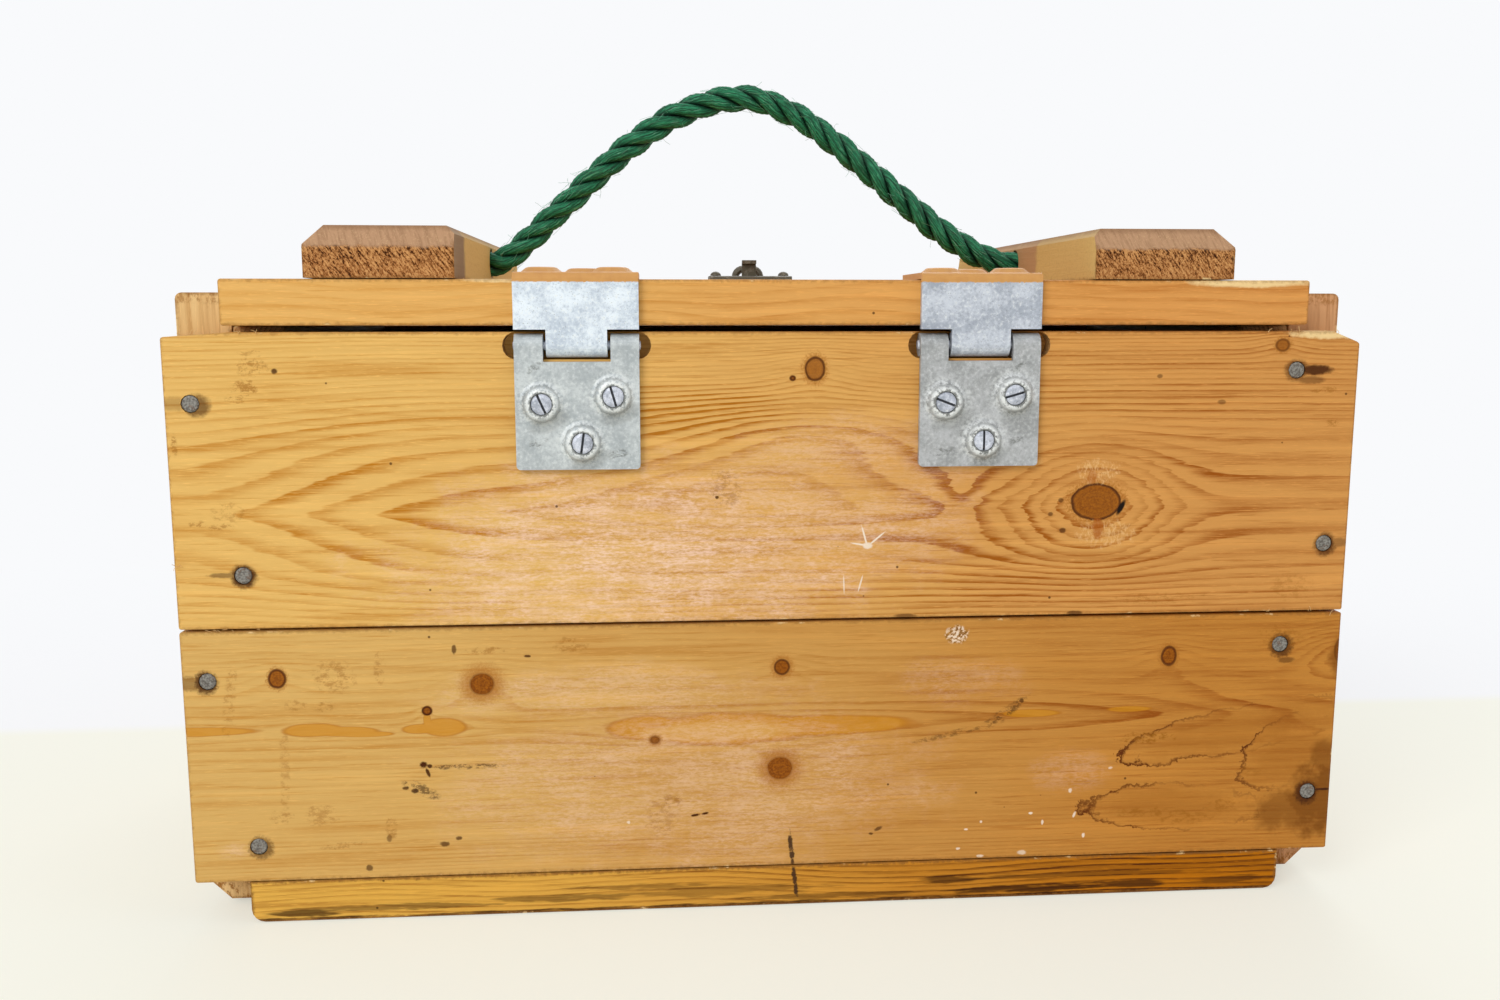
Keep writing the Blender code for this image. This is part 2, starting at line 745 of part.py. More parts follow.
def pin_bore(name, middle, pivot):
    return cylinder(
        f"{name}_bore",
        HINGE_PIN_RADIUS + PIN_CLEARANCE,
        2 * LEAF_WIDTH,
        (middle, HINGE_Y, HINGE_Z),
        ALONG_X,
        pivot=pivot,
    )


def boss(name, face_point, direction, pivot):
    """A pressed boss: it swells out of a leaf's face to a round rim, and is sunk half the leaf's thickness into it."""
    root = -LEAF_THICKNESS / 2
    profile = [(0, BOSS_HEIGHT)]
    for step in range(BOSS_RINGS + 1):
        share = step / BOSS_RINGS
        radius = BOSS_RIM_RADIUS + (BOSS_RADIUS - BOSS_RIM_RADIUS) * share
        profile.append((radius, BOSS_HEIGHT * (1 + math.cos(math.pi * share)) / 2))
    profile += [(BOSS_RADIUS, root), (0, root)]
    return turned(name, profile, face_point, direction, pivot=pivot)


def make_lower_leaf(name, middle, board):
    """The leaf on the box: two knuckles, a notch for the tab between them and three screwed bosses."""
    half = LEAF_WIDTH / 2
    notch = TAB_WIDTH / 2 + TAB_CLEARANCE
    foot = HINGE_Z - LOWER_LEAF_DROP
    notch_foot = HINGE_Z - KNUCKLE_RADIUS - KNUCKLE_SPACE
    outline = [
        (middle - half, foot),
        (middle + half, foot),
        (middle + half, HINGE_Z),
        (middle + notch, HINGE_Z),
        (middle + notch, notch_foot),
        (middle - notch, notch_foot),
        (middle - notch, HINGE_Z),
        (middle - half, HINGE_Z),
    ]
    outline = round_corners(outline, [LEAF_CORNER, LEAF_CORNER, 0, 0, 0, 0, 0, 0])
    plate_middle = LEAF_FACE + LEAF_THICKNESS / 2
    leaf = outline_solid(f"{name}_lower_leaf", outline, LEAF_THICKNESS, plate_middle, UPRIGHT, ZINC)
    ear_length = half - notch
    for end, way in SIDES.items():
        join(leaf, knuckle(f"{name}_{end}", middle + way * (half + notch) / 2, ear_length, None))
    cut(leaf, pin_bore(f"{name}_lower", middle, None))
    places = {
        "left": (middle - BOSS_SPREAD, HINGE_Z - NEAR_BOSS - BOSS_STAGGER / 2),
        "right": (middle + BOSS_SPREAD, HINGE_Z - NEAR_BOSS + BOSS_STAGGER / 2),
        "middle": (middle + FAR_BOSS_SHIFT, HINGE_Z - FAR_BOSS),
    }
    for place, (across, height) in places.items():
        join(leaf, boss(f"{name}_lower_{place}_boss", (across, LEAF_FACE, height), INTO_REAR, None))
        head = (across, LEAF_FACE - BOSS_HEIGHT + SCREW_RECESS, height)
        angle = math.radians(SLOT_TURNS[name, "lower"][place])
        slotted_screw(f"{name}_lower_{place}_screw", head, INTO_REAR, angle, (leaf, board))


def make_upper_leaf(name, middle, board, pivot):
    """The leaf on the lid: up its edge, over its top, with a tab that turns in to a knuckle round the pin."""
    back = LEAF_FACE + LEAF_THICKNESS
    foot = HINGE_Z + KNUCKLE_RADIUS + KNUCKLE_SPACE
    flange_foot = FLANGE_TOP - LEAF_THICKNESS
    flange_end = LEAF_FACE + FLANGE_DEPTH
    section = [
        (LEAF_FACE, foot),
        (back, foot),
        (back, flange_foot),
        (flange_end, flange_foot),
        (flange_end, FLANGE_TOP),
        (LEAF_FACE, FLANGE_TOP),
    ]
    section = round_corners(section, [0, 0, 0, 0, 0, FLANGE_BEND], steps=5)
    leaf = outline_solid(f"{name}_upper_leaf", section, LEAF_WIDTH, middle, CROSSWISE, ZINC, pivot)
    half_tab = TAB_WIDTH / 2
    tab = cuboid(
        f"{name}_tab",
        (middle - half_tab, LEAF_FACE, HINGE_Z),
        (middle + half_tab, back, foot + LEAF_THICKNESS),
        pivot=pivot,
    )
    join(leaf, tab, knuckle(f"{name}_tab", middle, TAB_WIDTH, pivot))
    cut(leaf, pin_bore(f"{name}_upper", middle, pivot))
    places = {
        "left": (middle - BOSS_SPREAD, LEAF_FACE + FLANGE_NEAR_BOSS),
        "right": (middle + BOSS_SPREAD, LEAF_FACE + FLANGE_NEAR_BOSS),
        "middle": (middle + FAR_BOSS_SHIFT, LEAF_FACE + FLANGE_FAR_BOSS),
    }
    for place, (across, inward) in places.items():
        join(leaf, boss(f"{name}_upper_{place}_boss", (across, inward, FLANGE_TOP), DOWNWARD, pivot))
        head = (across, inward, FLANGE_TOP + BOSS_HEIGHT - SCREW_RECESS)
        angle = math.radians(SLOT_TURNS[name, "upper"][place])
        slotted_screw(f"{name}_upper_{place}_screw", head, DOWNWARD, angle, (leaf, board), pivot)


def make_hinge(end, side, lid_board, lid_pivot):
    name = f"{end}_hinge"
    middle = SIDES[end] * HINGE_OFFSET
    mortise_foot = HINGE_Z - KNUCKLE_RADIUS - MORTISE_CLEARANCE
    mortise_half = LEAF_WIDTH / 2 + MORTISE_END
    mortise_top = 2 * HINGE_Z - mortise_foot
    corners = [
        (middle - mortise_half, mortise_foot),
        (middle + mortise_half, mortise_foot),
        (middle + mortise_half, mortise_top),
        (middle - mortise_half, mortise_top),
    ]
    outline = round_corners(corners, (mortise_top - mortise_foot) * 0.49)
    mortise_back = HINGE_Y + KNUCKLE_RADIUS + MORTISE_CLEARANCE
    mortise_depth = mortise_back + OUTER_FACE + LEAF_THICKNESS
    cut(side, outline_solid(f"{name}_mortise", outline, mortise_depth, mortise_back - mortise_depth / 2, UPRIGHT))
    make_lower_leaf(name, middle, side)
    make_upper_leaf(name, middle, lid_board, lid_pivot)
    pin_length = LEAF_WIDTH + 2 * HINGE_PIN_PROUD
    pin = cylinder(f"{name}_pin", HINGE_PIN_RADIUS, pin_length, (middle, HINGE_Y, HINGE_Z), ALONG_X, ZINC, sides=16)
    soften(pin, HINGE_PIN_PROUD * 0.6, 1)


# Toggle latch


def make_latch_base(board):
    """The plate on the front of the box, with two ears that carry the lever's pin."""
    half = BASE_WIDTH / 2
    top = LEVER_Z + BASE_HEIGHT * 0.4
    foot = top - BASE_HEIGHT
    back = OUTER_FACE + SEAT_GAP
    plate = cuboid("latch_base", (LATCH_X - half, back, foot), (LATCH_X + half, BASE_FACE, top), IRON, edge=0.0006)
    inner = LEVER_HALF_WIDTH + PIN_CLEARANCE
    root = BASE_FACE - BASE_THICKNESS / 2
    rim = []
    for step in range(9):
        angle = math.pi / 2 - math.pi * step / 8
        rim.append((LEVER_Y + EAR_RADIUS * math.cos(angle), LEVER_Z + EAR_RADIUS * math.sin(angle)))
    outline = [(root, LEVER_Z - EAR_RADIUS), (root, LEVER_Z + EAR_RADIUS), *rim]
    for end, way in SIDES.items():
        middle = LATCH_X + way * (inner + EAR_THICKNESS / 2)
        join(plate, outline_solid(f"latch_{end}_ear", outline, EAR_THICKNESS, middle, CROSSWISE))
    bore = cylinder(
        "latch_ear_bore",
        LEVER_PIN_RADIUS + PIN_CLEARANCE,
        2 * BASE_WIDTH,
        (LATCH_X, LEVER_Y, LEVER_Z),
        ALONG_X,
        sides=16,
    )
    cut(plate, bore)
    reach = half - BASE_SCREW_INSET
    for end, way in SIDES.items():
        for level, height in (("upper", top - BASE_SCREW_INSET), ("lower", foot + BASE_SCREW_INSET)):
            seat = (LATCH_X + way * reach, BASE_FACE + SEAT_GAP, height)
            round_screw(f"latch_screw_{end}_{level}", seat, INTO_FRONT, ROUND_SCREW_GRIP, (plate, board))


def make_lever(pivot):
    """A folded lever: two cheeks on the pin and the crank, and a front that runs down to a kicked-out tip."""
    web = LEVER_Y + LEVER_FRONT - LEVER_THICKNESS / 2
    tip = LEVER_Z - LEVER_REACH
    line = [
        (web, LEVER_Z - EAR_RADIUS * 0.3),
        (web, tip + LEVER_REACH * 0.35),
        (web + LEVER_KICK * 0.25, tip + LEVER_REACH * 0.18),
        (web + LEVER_KICK, tip),
    ]
    line = round_corners(line, [0, 0.012, 0.012, 0], closed=False, steps=5)
    bm = bmesh.new()
    rows = []
    for depth, height in line:
        rows.append([bm.verts.new((way * LEVER_HALF_WIDTH, depth, height)) for way in (-1, 1)])
    for (left, right), (next_left, next_right) in zip(rows, rows[1:]):
        bm.faces.new((left, right, next_right, next_left))
    lever = add_object("latch_lever", mesh_from(bm, "latch_lever"), (LATCH_X, 0, 0), (0, 0, 0), IRON, pivot)
    fold = lever.modifiers.new("sheet", "SOLIDIFY")
    fold.thickness = LEVER_THICKNESS
    fold.offset = 0
    pin_round = LEVER_PIN_RADIUS + PIN_CLEARANCE + LEVER_THICKNESS
    rim = []
    for step in range(7):
        angle = math.radians(60 + 120 * step / 6)
        rim.append((LEVER_Y + pin_round * math.cos(angle), LEVER_Z + pin_round * math.sin(angle)))
    for step in range(5):
        angle = math.radians(180 + 90 * step / 4)
        rim.append((CRANK_Y + CRANK_RADIUS * math.cos(angle), CRANK_Z + CRANK_RADIUS * math.sin(angle)))
    outline = [(web, LEVER_Z - EAR_RADIUS * 0.3), *rim, (web, CRANK_Z - CRANK_RADIUS)]
    for end, way in SIDES.items():
        middle = LATCH_X + way * (LEVER_HALF_WIDTH - LEVER_THICKNESS / 2)
        join(lever, outline_solid(f"lever_{end}_cheek", outline, LEVER_THICKNESS, middle, CROSSWISE, pivot=pivot))
    pin_place = (LATCH_X, LEVER_Y, LEVER_Z)
    crank_place = (LATCH_X, CRANK_Y, CRANK_Z)
    bore_length = 4 * LEVER_HALF_WIDTH
    pin_bore_radius = LEVER_PIN_RADIUS + PIN_CLEARANCE
    crank_bore_radius = BAIL_RADIUS + PIN_CLEARANCE
    cut(lever, cylinder("lever_pin_bore", pin_bore_radius, bore_length, pin_place, ALONG_X, pivot=pivot, sides=16))
    cut(lever, cylinder("lever_crank_bore", crank_bore_radius, bore_length, crank_place, ALONG_X, pivot=pivot, sides=16))
    pin_length = 2 * (LEVER_HALF_WIDTH + PIN_CLEARANCE + EAR_THICKNESS)
    cylinder("latch_lever_pin", LEVER_PIN_RADIUS, pin_length, pin_place, ALONG_X, IRON, sides=16)


def make_bail(pivot):
    """The wire loop: its feet turn in to the lever's crank holes, and its bar stands above the lid's edge."""
    top = LID_TOP + BAIL_RISE
    bar_y = CRANK_Y - BAIL_LEAN
    inner = LEVER_HALF_WIDTH - LEVER_THICKNESS - PIN_CLEARANCE
    line = [
        (LATCH_X - inner, CRANK_Y, CRANK_Z),
        (LATCH_X - BAIL_FOOT_HALF, CRANK_Y, CRANK_Z),
        (LATCH_X - BAIL_BAR_HALF, bar_y, top),
        (LATCH_X + BAIL_BAR_HALF, bar_y, top),
        (LATCH_X + BAIL_FOOT_HALF, CRANK_Y, CRANK_Z),
        (LATCH_X + inner, CRANK_Y, CRANK_Z),
    ]
    line = round_corners(line, BAIL_BEND, closed=False, steps=5)
    add_object("latch_bail", tube_curve("latch_bail", line, BAIL_RADIUS, 2), (0, 0, 0), (0, 0, 0), IRON, pivot)


def make_keeper(board, pivot):
    """The keeper on the lid: an inverted channel with a hook tongue that the bail's bar goes behind."""
    front = OUTER_FACE - KEEPER_SETBACK
    back = front - KEEPER_DEPTH
    foot = LID_TOP + SEAT_GAP
    inside = KEEPER_TOP - KEEPER_THICKNESS
    section = [
        (back, foot),
        (back + KEEPER_THICKNESS, foot),
        (back + KEEPER_THICKNESS, inside),
        (front - KEEPER_THICKNESS, inside),
        (front - KEEPER_THICKNESS, foot),
        (front, foot),
        (front, KEEPER_TOP),
        (back, KEEPER_TOP),
    ]
    section = round_corners(section, [0, 0, 0, 0, 0, 0, KEEPER_BEND, KEEPER_BEND], steps=3)
    keeper = outline_solid("latch_keeper", section, KEEPER_WIDTH, LATCH_X, CROSSWISE, IRON, pivot)
    tongue_top = KEEPER_TOP + TONGUE_RISE
    stem_front = front - TONGUE_SETBACK
    stem_back = stem_front - TONGUE_THICKNESS
    tongue = [
        (stem_front, inside + KEEPER_THICKNESS / 2),
        (stem_front, tongue_top),
        (stem_back - TONGUE_HOOK, tongue_top),
        (stem_back - TONGUE_HOOK, tongue_top - TONGUE_THICKNESS),
        (stem_back, tongue_top - TONGUE_THICKNESS),
        (stem_back, inside + KEEPER_THICKNESS / 2),
    ]
    tongue = round_corners(tongue, [0, TONGUE_THICKNESS * 1.4, 0, 0, TONGUE_THICKNESS * 0.4, 0], steps=4)
    join(keeper, outline_solid("keeper_tongue", tongue, TONGUE_WIDTH, LATCH_X, CROSSWISE, pivot=pivot))
    grip = ROUND_SCREW_GRIP + KEEPER_HEIGHT - KEEPER_THICKNESS
    for end, way in SIDES.items():
        seat = (LATCH_X + way * KEEPER_SCREW_SPREAD, (front + back) / 2, KEEPER_TOP + SEAT_GAP)
        round_screw(f"keeper_screw_{end}", seat, DOWNWARD, grip, (keeper, board), pivot)


def main():
    lid_pivot = new_pivot("lid_pivot", (0, HINGE_Y, HINGE_Z))
    handle_pivot = new_pivot("handle_pivot", (0, 0, ROPE_Z), lid_pivot)
    lever_pivot = new_pivot("lever_pivot", (LATCH_X, LEVER_Y, LEVER_Z))
    bail_pivot = new_pivot("bail_pivot", (LATCH_X, CRANK_Y, CRANK_Z), lever_pivot)
    sides = make_sides()
    ends = make_end_boards()
    cleats = make_cleats()
    make_bottom()
    make_rear_nails(sides, ends, cleats)
    rear_lid, front_lid = make_lid(lid_pivot)
    for end in SIDES:
        make_batten(end, lid_pivot)
        make_hinge(end, sides["rear", "upper"], rear_lid, lid_pivot)
    make_rope(handle_pivot)
    make_latch_base(sides["front", "upper"])
    make_lever(lever_pivot)
    make_bail(bail_pivot)
    make_keeper(front_lid, lid_pivot)


main()
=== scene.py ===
# %% [markdown]
# # A wooden military crate
# The crate is a nailed pine box with a lid on two strap hinges, a rope handle and a toggle latch. Its
# solids come ready made, each with its place and its joints. This lesson gives them the looks of the real
# thing: pine with its knots and stains, galvanised hinges, and a laid rope. A finish here is made of
# shader nodes and no pictures, so that it holds at any distance.

import json
import math
import random

import bmesh
import bpy
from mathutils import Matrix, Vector

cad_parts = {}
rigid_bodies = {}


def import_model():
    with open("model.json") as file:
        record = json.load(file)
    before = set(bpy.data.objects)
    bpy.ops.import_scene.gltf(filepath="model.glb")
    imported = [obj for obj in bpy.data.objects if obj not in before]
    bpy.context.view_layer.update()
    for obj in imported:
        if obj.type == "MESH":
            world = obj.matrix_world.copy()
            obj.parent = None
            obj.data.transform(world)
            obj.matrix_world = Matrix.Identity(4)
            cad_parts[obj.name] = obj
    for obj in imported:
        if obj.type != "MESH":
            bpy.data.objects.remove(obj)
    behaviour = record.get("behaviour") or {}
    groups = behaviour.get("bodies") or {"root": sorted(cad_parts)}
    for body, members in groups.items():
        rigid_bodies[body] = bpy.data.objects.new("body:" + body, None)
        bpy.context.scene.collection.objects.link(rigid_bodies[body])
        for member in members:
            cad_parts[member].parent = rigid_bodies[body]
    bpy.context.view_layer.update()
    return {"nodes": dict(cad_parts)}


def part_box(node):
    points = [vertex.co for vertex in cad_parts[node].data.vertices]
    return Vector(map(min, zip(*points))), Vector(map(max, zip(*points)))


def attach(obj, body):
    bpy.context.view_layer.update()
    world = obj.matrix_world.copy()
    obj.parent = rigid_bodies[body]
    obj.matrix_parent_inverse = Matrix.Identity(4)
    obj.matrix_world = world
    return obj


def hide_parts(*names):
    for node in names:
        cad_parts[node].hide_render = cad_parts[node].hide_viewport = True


for leftover in list(bpy.data.objects):
    bpy.data.objects.remove(leftover)
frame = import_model()
nodes = frame["nodes"]

# %% [markdown]
# ## The camera
# The photograph looks at the hinge side from a little above and left of the middle. The camera could be
# turned by eye, but its place and lens were worked out from the crate's straight edges, so they are
# simply written here.

# %% Camera at the photograph's viewing angle
IMAGE_WIDTH = 1500
FOCAL_PIXELS = 1288.8
SENSOR_WIDTH = 36.0
PITCH_DOWN = math.radians(8.352)
YAW_RIGHT = math.radians(4.270)
CAMERA_PLACE = (-0.04745, -0.5932, 0.2338)
NEAR_CLIP = 0.01

camera = bpy.data.objects.new("photo_camera", bpy.data.cameras.new("photo_camera"))
camera.data.sensor_width = SENSOR_WIDTH
camera.data.lens = SENSOR_WIDTH * FOCAL_PIXELS / IMAGE_WIDTH
camera.data.clip_start = NEAR_CLIP
camera.location = CAMERA_PLACE
camera.rotation_euler = (math.pi / 2 - PITCH_DOWN, 0, -YAW_RIGHT)
bpy.context.scene.collection.objects.link(camera)
bpy.context.scene.camera = camera
print(f"lens {camera.data.lens:.2f} mm")

# %% [markdown]
# ## Shader maths as Python
# A node tree that is wired by hand is hard to read. A small class wraps a socket, so that `1 - mask *
# 0.5` adds the Math nodes by itself. Every other node comes from one method: its type, its settings, and
# what goes in its sockets.


# %% Sockets with operators, and a finish to hold them
class Wire:
    """An output socket that can be used in a sum."""

    def __init__(self, finish, socket):
        self.finish = finish
        self.socket = socket

    def out(self, name):
        return Wire(self.finish, self.socket.node.outputs[name])

    def math(self, operation, *values):
        return self.finish.node("ShaderNodeMath", {"operation": operation}, dict(enumerate(values)))

    def __add__(self, other):
        return self.math("ADD", self, other)

    def __radd__(self, other):
        return self.math("ADD", other, self)

    def __sub__(self, other):
        return self.math("SUBTRACT", self, other)

    def __rsub__(self, other):
        return self.math("SUBTRACT", other, self)

    def __mul__(self, other):
        return self.math("MULTIPLY", self, other)

    def __rmul__(self, other):
        return self.math("MULTIPLY", other, self)

    def __truediv__(self, other):
        return self.math("DIVIDE", self, other)

    def __rtruediv__(self, other):
        return self.math("DIVIDE", other, self)

    def __pow__(self, other):
        return self.math("POWER", self, other)

    def __rpow__(self, other):
        return self.math("POWER", other, self)

    def __abs__(self):
        return self.math("ABSOLUTE", self)


class NodeBench:
    """A node tree whose nodes are added by expressions."""

    def __init__(self, tree):
        self.tree = tree

    def node(self, kind, settings=None, sockets=None, output=0):
        made = self.tree.nodes.new(kind)
        for key, value in (settings or {}).items():
            setattr(made, key, value)
        for key, value in (sockets or {}).items():
            self.feed(made.inputs[key], value)
        return Wire(self, made.outputs[output])

    def feed(self, socket, value):
        if isinstance(value, Wire):
            self.tree.links.new(value.socket, socket)
        else:
            socket.default_value = value


class Finish(NodeBench):
    """A material with one Principled shader."""

    def __init__(self, name):
        self.material = bpy.data.materials.new(name)
        self.material.use_nodes = True
        super().__init__(self.material.node_tree)
        self.shader = self.tree.nodes["Principled BSDF"]

    def surface(self, **sockets):
        for name, value in sockets.items():
            self.feed(self.shader.inputs[name.replace("_", " ")], value)

    def wear(self, *node_names):
        for name in node_names:
            nodes[name].material_slots[0].material = self.material


def rgb(red, green, blue):
    """A colour as a screen shows it, 0 to 255, made linear."""
    shares = [value / 255 for value in (red, green, blue)]
    return (*[s / 12.92 if s <= 0.04045 else ((s + 0.055) / 1.055) ** 2.4 for s in shares], 1.0)


print("shader tools ready")

# %% [markdown]
# ## Measures for a finish
# Wood and rust are easiest to describe in millimetres, from the same origin as the crate. A node's object
# sits at the origin, so its Object coordinates are the crate's own, and they move with the piece when a
# joint turns.


# %% Helpers that every finish uses
FADE = math.exp(-1)
PER_METRE = 1000.0
SHIFT_WAY = (1.0, 1.7, 2.3)


def millimetres(finish):
    """The place on the surface, in millimetres."""
    place = finish.node("ShaderNodeTexCoord").out("Object")
    return finish.node("ShaderNodeVectorMath", {"operation": "SCALE"}, {0: place, "Scale": PER_METRE})


def facing(finish):
    """Which way the surface looks, along each axis."""
    return split(finish, finish.node("ShaderNodeTexCoord").out("Normal"))


def split(finish, vector):
    apart = finish.node("ShaderNodeSeparateXYZ", sockets={0: vector})
    return apart.out("X"), apart.out("Y"), apart.out("Z")


def combine(finish, first, second, third):
    return finish.node("ShaderNodeCombineXYZ", sockets={0: first, 1: second, 2: third})


def step(value, low, high, top=1.0):
    """A soft step from 0 at low to the top at high; low may be the larger one."""
    kind = {"interpolation_type": "SMOOTHSTEP"}
    flipped = low > high
    span = {"Value": value, "From Min": min(low, high), "From Max": max(low, high)}
    span.update({"To Min": top if flipped else 0.0, "To Max": 0.0 if flipped else top})
    return value.finish.node("ShaderNodeMapRange", kind, span)


def noise(finish, place, scale, detail=2.0, roughness=0.5, stretch=(1, 1, 1), shift=0.0):
    """Cloudy noise, 0 to 1 about 0.5, with its own stretch on each axis."""
    start = tuple(share * shift for share in SHIFT_WAY)
    scaled = {0: place, 1: stretch, 2: start}
    moved = finish.node("ShaderNodeVectorMath", {"operation": "MULTIPLY_ADD"}, scaled)
    sockets = {"Vector": moved, "Scale": scale, "Detail": detail, "Roughness": roughness}
    return finish.node("ShaderNodeTexNoise", sockets=sockets)


def blend(share, first, second):
    """A mix of two colours."""
    sockets = {0: share, 6: first, 7: second}
    return share.finish.node("ShaderNodeMix", {"data_type": "RGBA"}, sockets, output=2)


def reach(finish, place, middle, half_sizes, tilt=0.0):
    """Squared distance from a middle in half sizes: 1 is on the ellipse, which is tilted by degrees."""
    length, height = half_sizes
    if tilt:
        turn = {"Vector": place, "Center": (*middle, 0), "Angle": -math.radians(tilt)}
        place = finish.node("ShaderNodeVectorRotate", {"rotation_type": "Z_AXIS"}, turn)
    shift = (-middle[0] / length, -middle[1] / height, 0)
    scaled = {0: place, 1: (1 / length, 1 / height, 0), 2: shift}
    arm = finish.node("ShaderNodeVectorMath", {"operation": "MULTIPLY_ADD"}, scaled)
    return finish.node("ShaderNodeVectorMath", {"operation": "DOT_PRODUCT"}, {0: arm, 1: arm}, "Value")


def spots(finish, place, ellipses, ragged=0.35, grain=0.5, streak=1.0, soft=0.6):
    """A mask of ragged ellipses: each a place, half sizes, a strength and perhaps a tilt in degrees."""
    edge = (noise(finish, place, grain, 3.0, 0.65, stretch=(1 / streak, 1, 1)) - 0.5) * (4 * ragged)
    mask = None
    for along, across, half_length, half_height, strength, *tilt in ellipses:
        far = reach(finish, place, (along, across), (half_length, half_height), *tilt)
        spot = step(far + edge, 1 + soft, 1 - soft, strength)
        mask = spot if mask is None else mask.math("MAXIMUM", mask, spot)
    return mask


def bump(finish, height, strength, distance):
    sockets = {"Strength": strength, "Distance": distance, "Height": height}
    return finish.node("ShaderNodeBump", sockets=sockets)


print("finish helpers ready")

# %% [markdown]
# ## Light, floor and background
# The light is soft and even. One large floor carries two tones: cream under the crate, and white beyond a
# line close behind it, so that the picture ends in white and the crate can still be seen from every side.
# Part of the floor's tone is a glow that only the camera and mirror-like rays see.

# %% Floor with two tones
FLOOR_HALF = 6.0
FLOOR_DROP = 0.0004
FLOOR_ROUGHNESS = 0.6
TONE_LINE = 0.134
TONE_BLUR = 0.010
FULL_GLOW = 0.6
CREAM = rgb(246, 246, 236)
WHITE = rgb(249, 250, 252)
CREAM_GLOW = rgb(250, 250, 238)
GLOW_SHARE = 0.55

floor_mesh = bpy.data.meshes.new("floor")
floor_bm = bmesh.new()
bmesh.ops.create_grid(floor_bm, x_segments=1, y_segments=1, size=FLOOR_HALF)
floor_bm.to_mesh(floor_mesh)
floor_bm.free()
floor = bpy.data.objects.new("floor", floor_mesh)
floor.location = (0, 0, -FLOOR_DROP)
bpy.context.scene.collection.objects.link(floor)


def plain_sight(bench):
    """1 for rays that show a thing itself: straight to the camera, mirrored or let through."""
    rays = bench.node("ShaderNodeLightPath")
    return rays.out("Is Camera Ray") + rays.out("Is Glossy Ray") + rays.out("Is Transmission Ray")


pale_floor = Finish("pale_floor")
floor_y = split(pale_floor, pale_floor.node("ShaderNodeTexCoord").out("Object"))[1]
beyond = step(floor_y, TONE_LINE - TONE_BLUR, TONE_LINE + TONE_BLUR)
pale_floor.surface(Base_Color=blend(beyond, CREAM, WHITE), Roughness=FLOOR_ROUGHNESS)
far_away = step(floor_y, TONE_LINE, FULL_GLOW)
glow_tone = blend(beyond, CREAM_GLOW, WHITE)
glow = pale_floor.node("ShaderNodeEmission", sockets={"Color": glow_tone, "Strength": 1.0})
lit = Wire(pale_floor, pale_floor.shader.outputs[0])
glow_share = (far_away * (1 - GLOW_SHARE) + GLOW_SHARE) * plain_sight(pale_floor)
seen = pale_floor.node("ShaderNodeMixShader", sockets={0: glow_share, 1: lit, 2: glow})
pale_floor.feed(pale_floor.tree.nodes["Material Output"].inputs["Surface"], seen)
floor.data.materials.append(pale_floor.material)
print("floor ready")

# %% [markdown]
# The light could come from a photographed sky. An even white world and three square lamps are easier to
# steer: a main lamp from the left, a weak one from the right, and one for the far side. The world shows
# its full white to the camera and gives about half of that as light.

# %% World and three soft lamps
WORLD_LIGHT = 0.56
CRATE_MIDDLE = (0, 0, 0.12)
SOFTBOXES = [
    ("key_left", (-1.3, -1.7, 1.5), 1.2, 29.0),
    ("fill_right", (1.8, -0.6, 1.3), 1.6, 8.0),
    ("back_fill", (0.4, 2.0, 1.6), 1.6, 18.0),
]

world = bpy.data.worlds.new("studio")
world.use_nodes = True
bpy.context.scene.world = world
studio = NodeBench(world.node_tree)
sky_range = {"Value": plain_sight(studio), "To Min": WORLD_LIGHT, "To Max": 1.0}
sky_strength = studio.node("ShaderNodeMapRange", sockets=sky_range)
backdrop = world.node_tree.nodes["Background"]
studio.feed(backdrop.inputs["Color"], WHITE)
studio.feed(backdrop.inputs["Strength"], sky_strength)
bpy.context.scene.view_settings.view_transform = "Standard"


def softbox(name, place, target, width, power):
    """A square lamp that faces its target."""
    lamp = bpy.data.objects.new(name, bpy.data.lights.new(name, "AREA"))
    lamp.data.size = width
    lamp.data.energy = power
    lamp.location = place
    lamp.rotation_euler = (Vector(target) - Vector(place)).to_track_quat("-Z", "Y").to_euler()
    bpy.context.scene.collection.objects.link(lamp)


for name, place, width, power in SOFTBOXES:
    softbox(name, place, CRATE_MIDDLE, width, power)
print("world and", len(SOFTBOXES), "lamps set")

# %% [markdown]
# ## Pine
# A flat-sawn board cuts a tree's rings at a slant, so its face shows them as contour lines: straight near
# the edges, pointed flames along the middle and ovals round each knot. The lines could be drawn one by
# one. Here a board has one smooth height, made of a slope and a few hills, and the rings are its
# contours, as on a map: a knot is a hill, and a row of flames is a ridge that falls away. Each ring then
# gets the pale early wood and the dark late wood.


# %% The rings of a board
WAVER_GRAIN = (0.008, 0.02, 0.02)
RAGGED_GRAIN = (0.05, 0.5, 0.3)
TOOTH_GRAIN = (0.02, 0.5, 0.4)
DRIFT_GRAIN = (0.010, 0.09, 0.09)
RAGGED_RINGS = 0.26
TOOTH_REACH = 8.0
RIDGE_ROUND = 2.0
LATE_FROM = 0.36
LATE_PEAK = 0.91
FAINTEST_GRAIN = 0.06


def board_axes(finish, along, across, depth):
    """A board's own measures in millimetres: along the grain, across the face and into the thickness."""
    axes = dict(zip("XYZ", split(finish, millimetres(finish))))
    return combine(finish, axes[along], axes[across], axes[depth])


